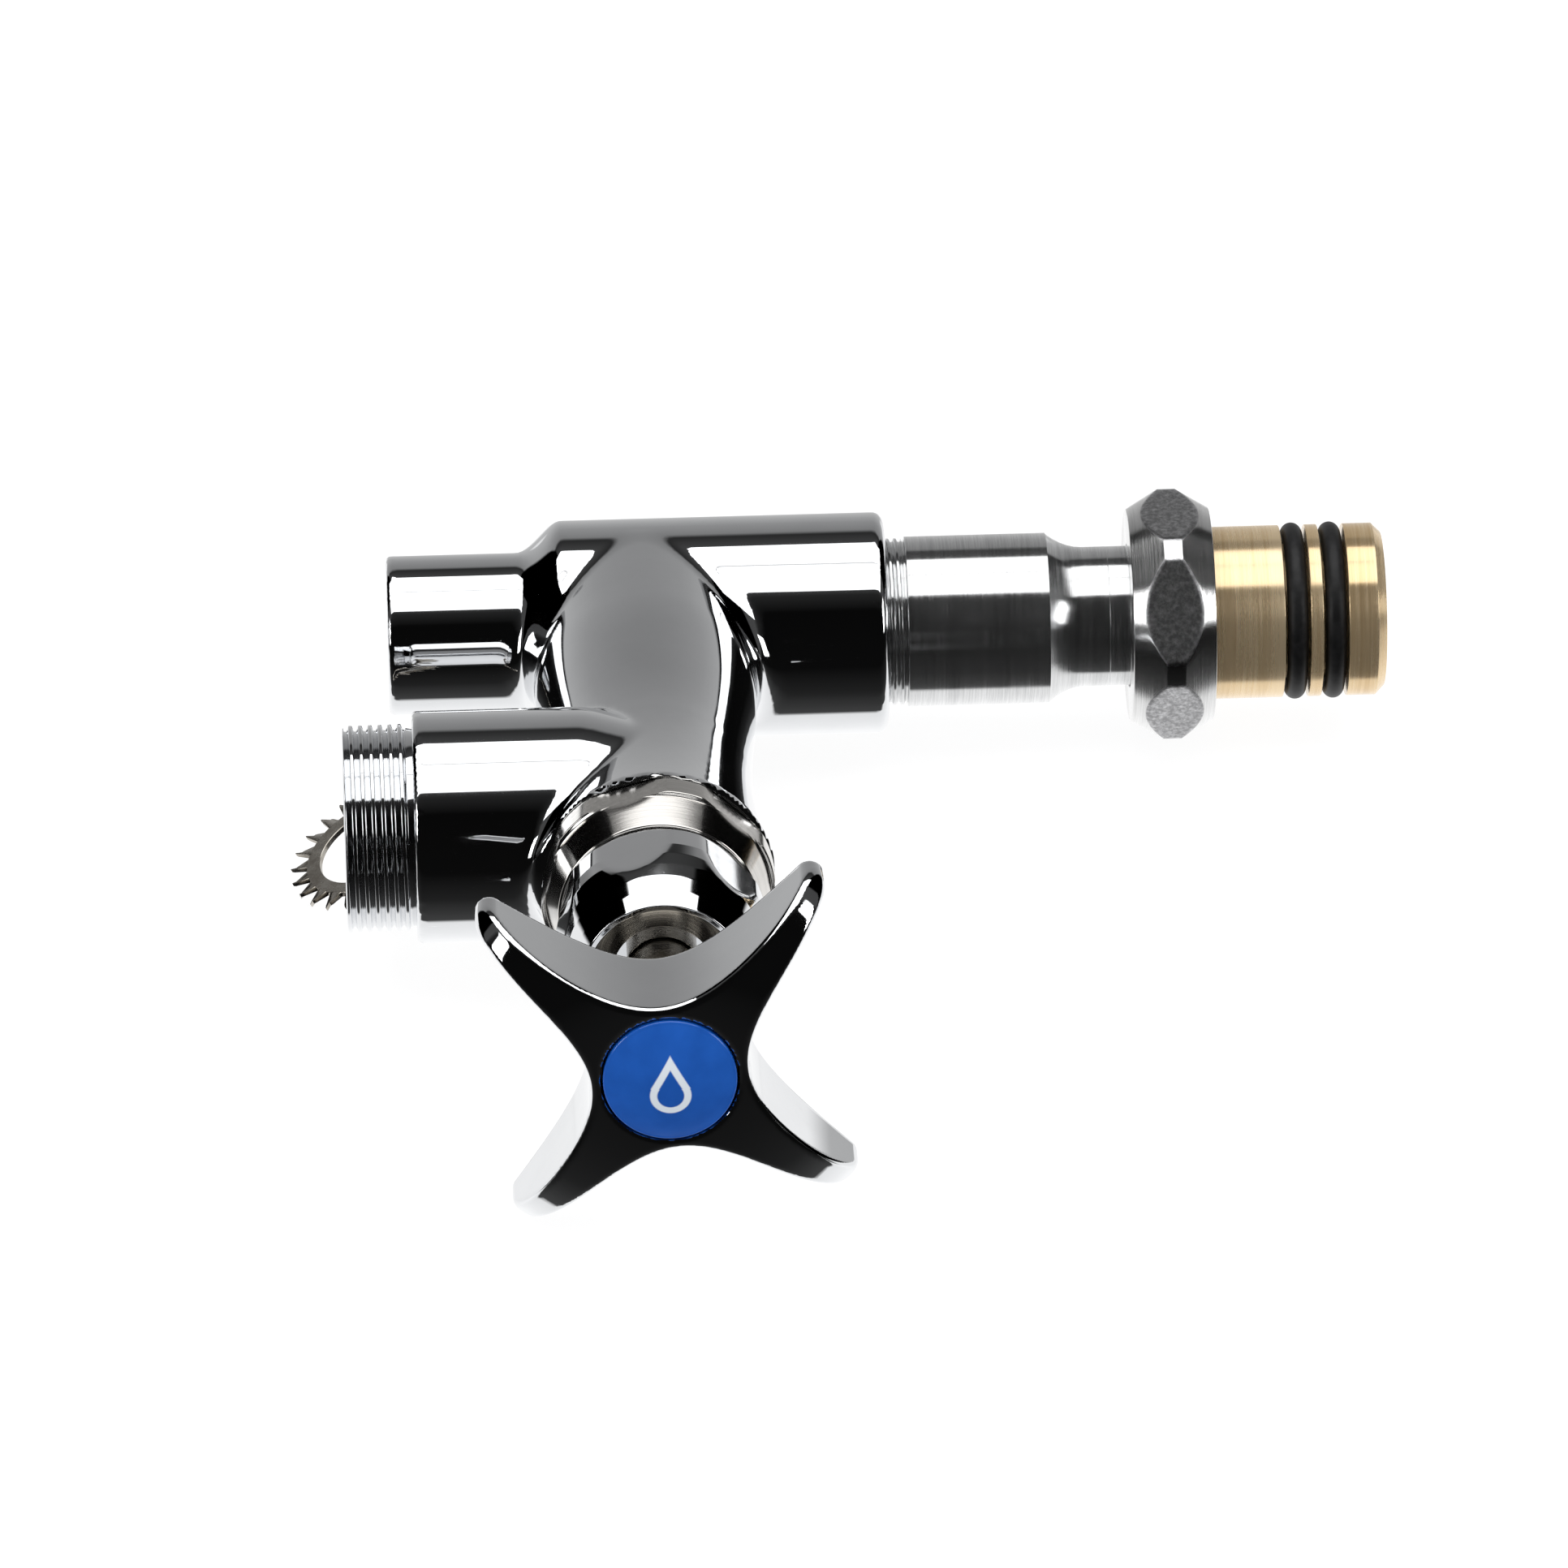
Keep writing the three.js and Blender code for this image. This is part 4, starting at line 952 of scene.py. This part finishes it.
columns = TEETH * TOOTH_COLUMNS
spokes = np.arange(columns) * 2 * math.pi / columns
phase = (spokes * TEETH / (2 * math.pi)) % 1.0 - 0.5
tooth = np.clip((0.34 - np.abs(phase)) / 0.12, 0, 1)
tooth = tooth * tooth * (3 - 2 * tooth)
upper = [(7.0, 0.33), (7.08, 0.4), (8.6, 0.4), (8.9, 0.4), ("tooth", 0.34)]
rings = [(rho, -height) for rho, height in upper] + upper[::-1]
washer_rows = []
for rho, height in rings:
    if rho == "tooth":
        reach = TOOTH_ROOT + TOOTH_LENGTH * tooth
        twist = TOOTH_TWIST * np.sign(phase) * np.minimum(np.abs(phase) * 6, 1) * tooth
        level_at = height * (1 - 0.30 * tooth) + twist
    else:
        reach = np.full(columns, rho)
        level_at = np.full(columns, height)
    washer_rows.append(np.stack([reach * np.cos(spokes), reach * np.sin(spokes), level_at], -1))
local = np.concatenate(washer_rows)
_, _, faces = grid_faces(len(rings), columns)
placed = local @ washer_turn.T + washer_centre * 1000
a, b, c, _ = (placed[faces[:, k]] - placed.mean(0) for k in range(4))
if np.einsum("ij,ij->i", a, np.cross(b, c)).sum() < 0:
    faces = faces[:, ::-1]
add_piece(
    "star_washer_cut", placed, faces, material, "star_washer",
    ["star_washer"], None, 25.0)


# ------------------------------------------------------------------ pieces inside
# What stays as the CAD made it: seat, washer and holder, packing, gasket and gland, the slip
# ring behind the nut, and the two screws. Each takes the finish of its stock.
fibre, tree, shader, coordinates = new_material("vulcanised_fibre")
shader.inputs["Roughness"].default_value = 0.75
weave = speckle(tree, coordinates, 1400.0, 4.0)
woven = ramp(tree, weave, [(0.35, (0.20, 0.10, 0.05)), (0.65, (0.31, 0.17, 0.09))])
tree.links.new(woven, shader.inputs["Base Color"])
raise_by(tree, shader, weave, 0.3, 0.0001)
ptfe, tree, shader, coordinates = new_material("ptfe_packing")
shader.inputs["Roughness"].default_value = 0.45
waxy = speckle(tree, coordinates, 800.0, 3.0)
milky = ramp(tree, waxy, [(0.35, (0.80, 0.80, 0.78)), (0.65, (0.90, 0.90, 0.88))])
tree.links.new(milky, shader.inputs["Base Color"])
raise_by(tree, shader, waxy, 0.1, 0.0001)
slip_steel = turned_metal(
    "slip_ring_steel", (0.80, 0.805, 0.81), rough=0.16, rings=5200.0, depth=0.12, direction=0.5)
screw_steel = turned_metal(
    "screw_steel", (0.78, 0.785, 0.79), rough=0.20, rings=3600.0, depth=0.15,
    direction=0.5, axis=1)
KEPT = {
    "valve_seat": bare,
    "washer_holder": bare,
    "packing_gland": oiled,
    "seat_washer": rubber,
    "seat_washer_screw": screw_steel,
    "handle_screw": screw_steel,
    "slip_ring": slip_steel,
    "bonnet_gasket": fibre,
    "packing_ring": ptfe,
}
for node_name, finish in KEPT.items():
    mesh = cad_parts[node_name].data
    if not mesh.materials:
        mesh.materials.append(finish)
    for k in range(len(mesh.materials)):
        mesh.materials[k] = finish

bpy.context.view_layer.update()
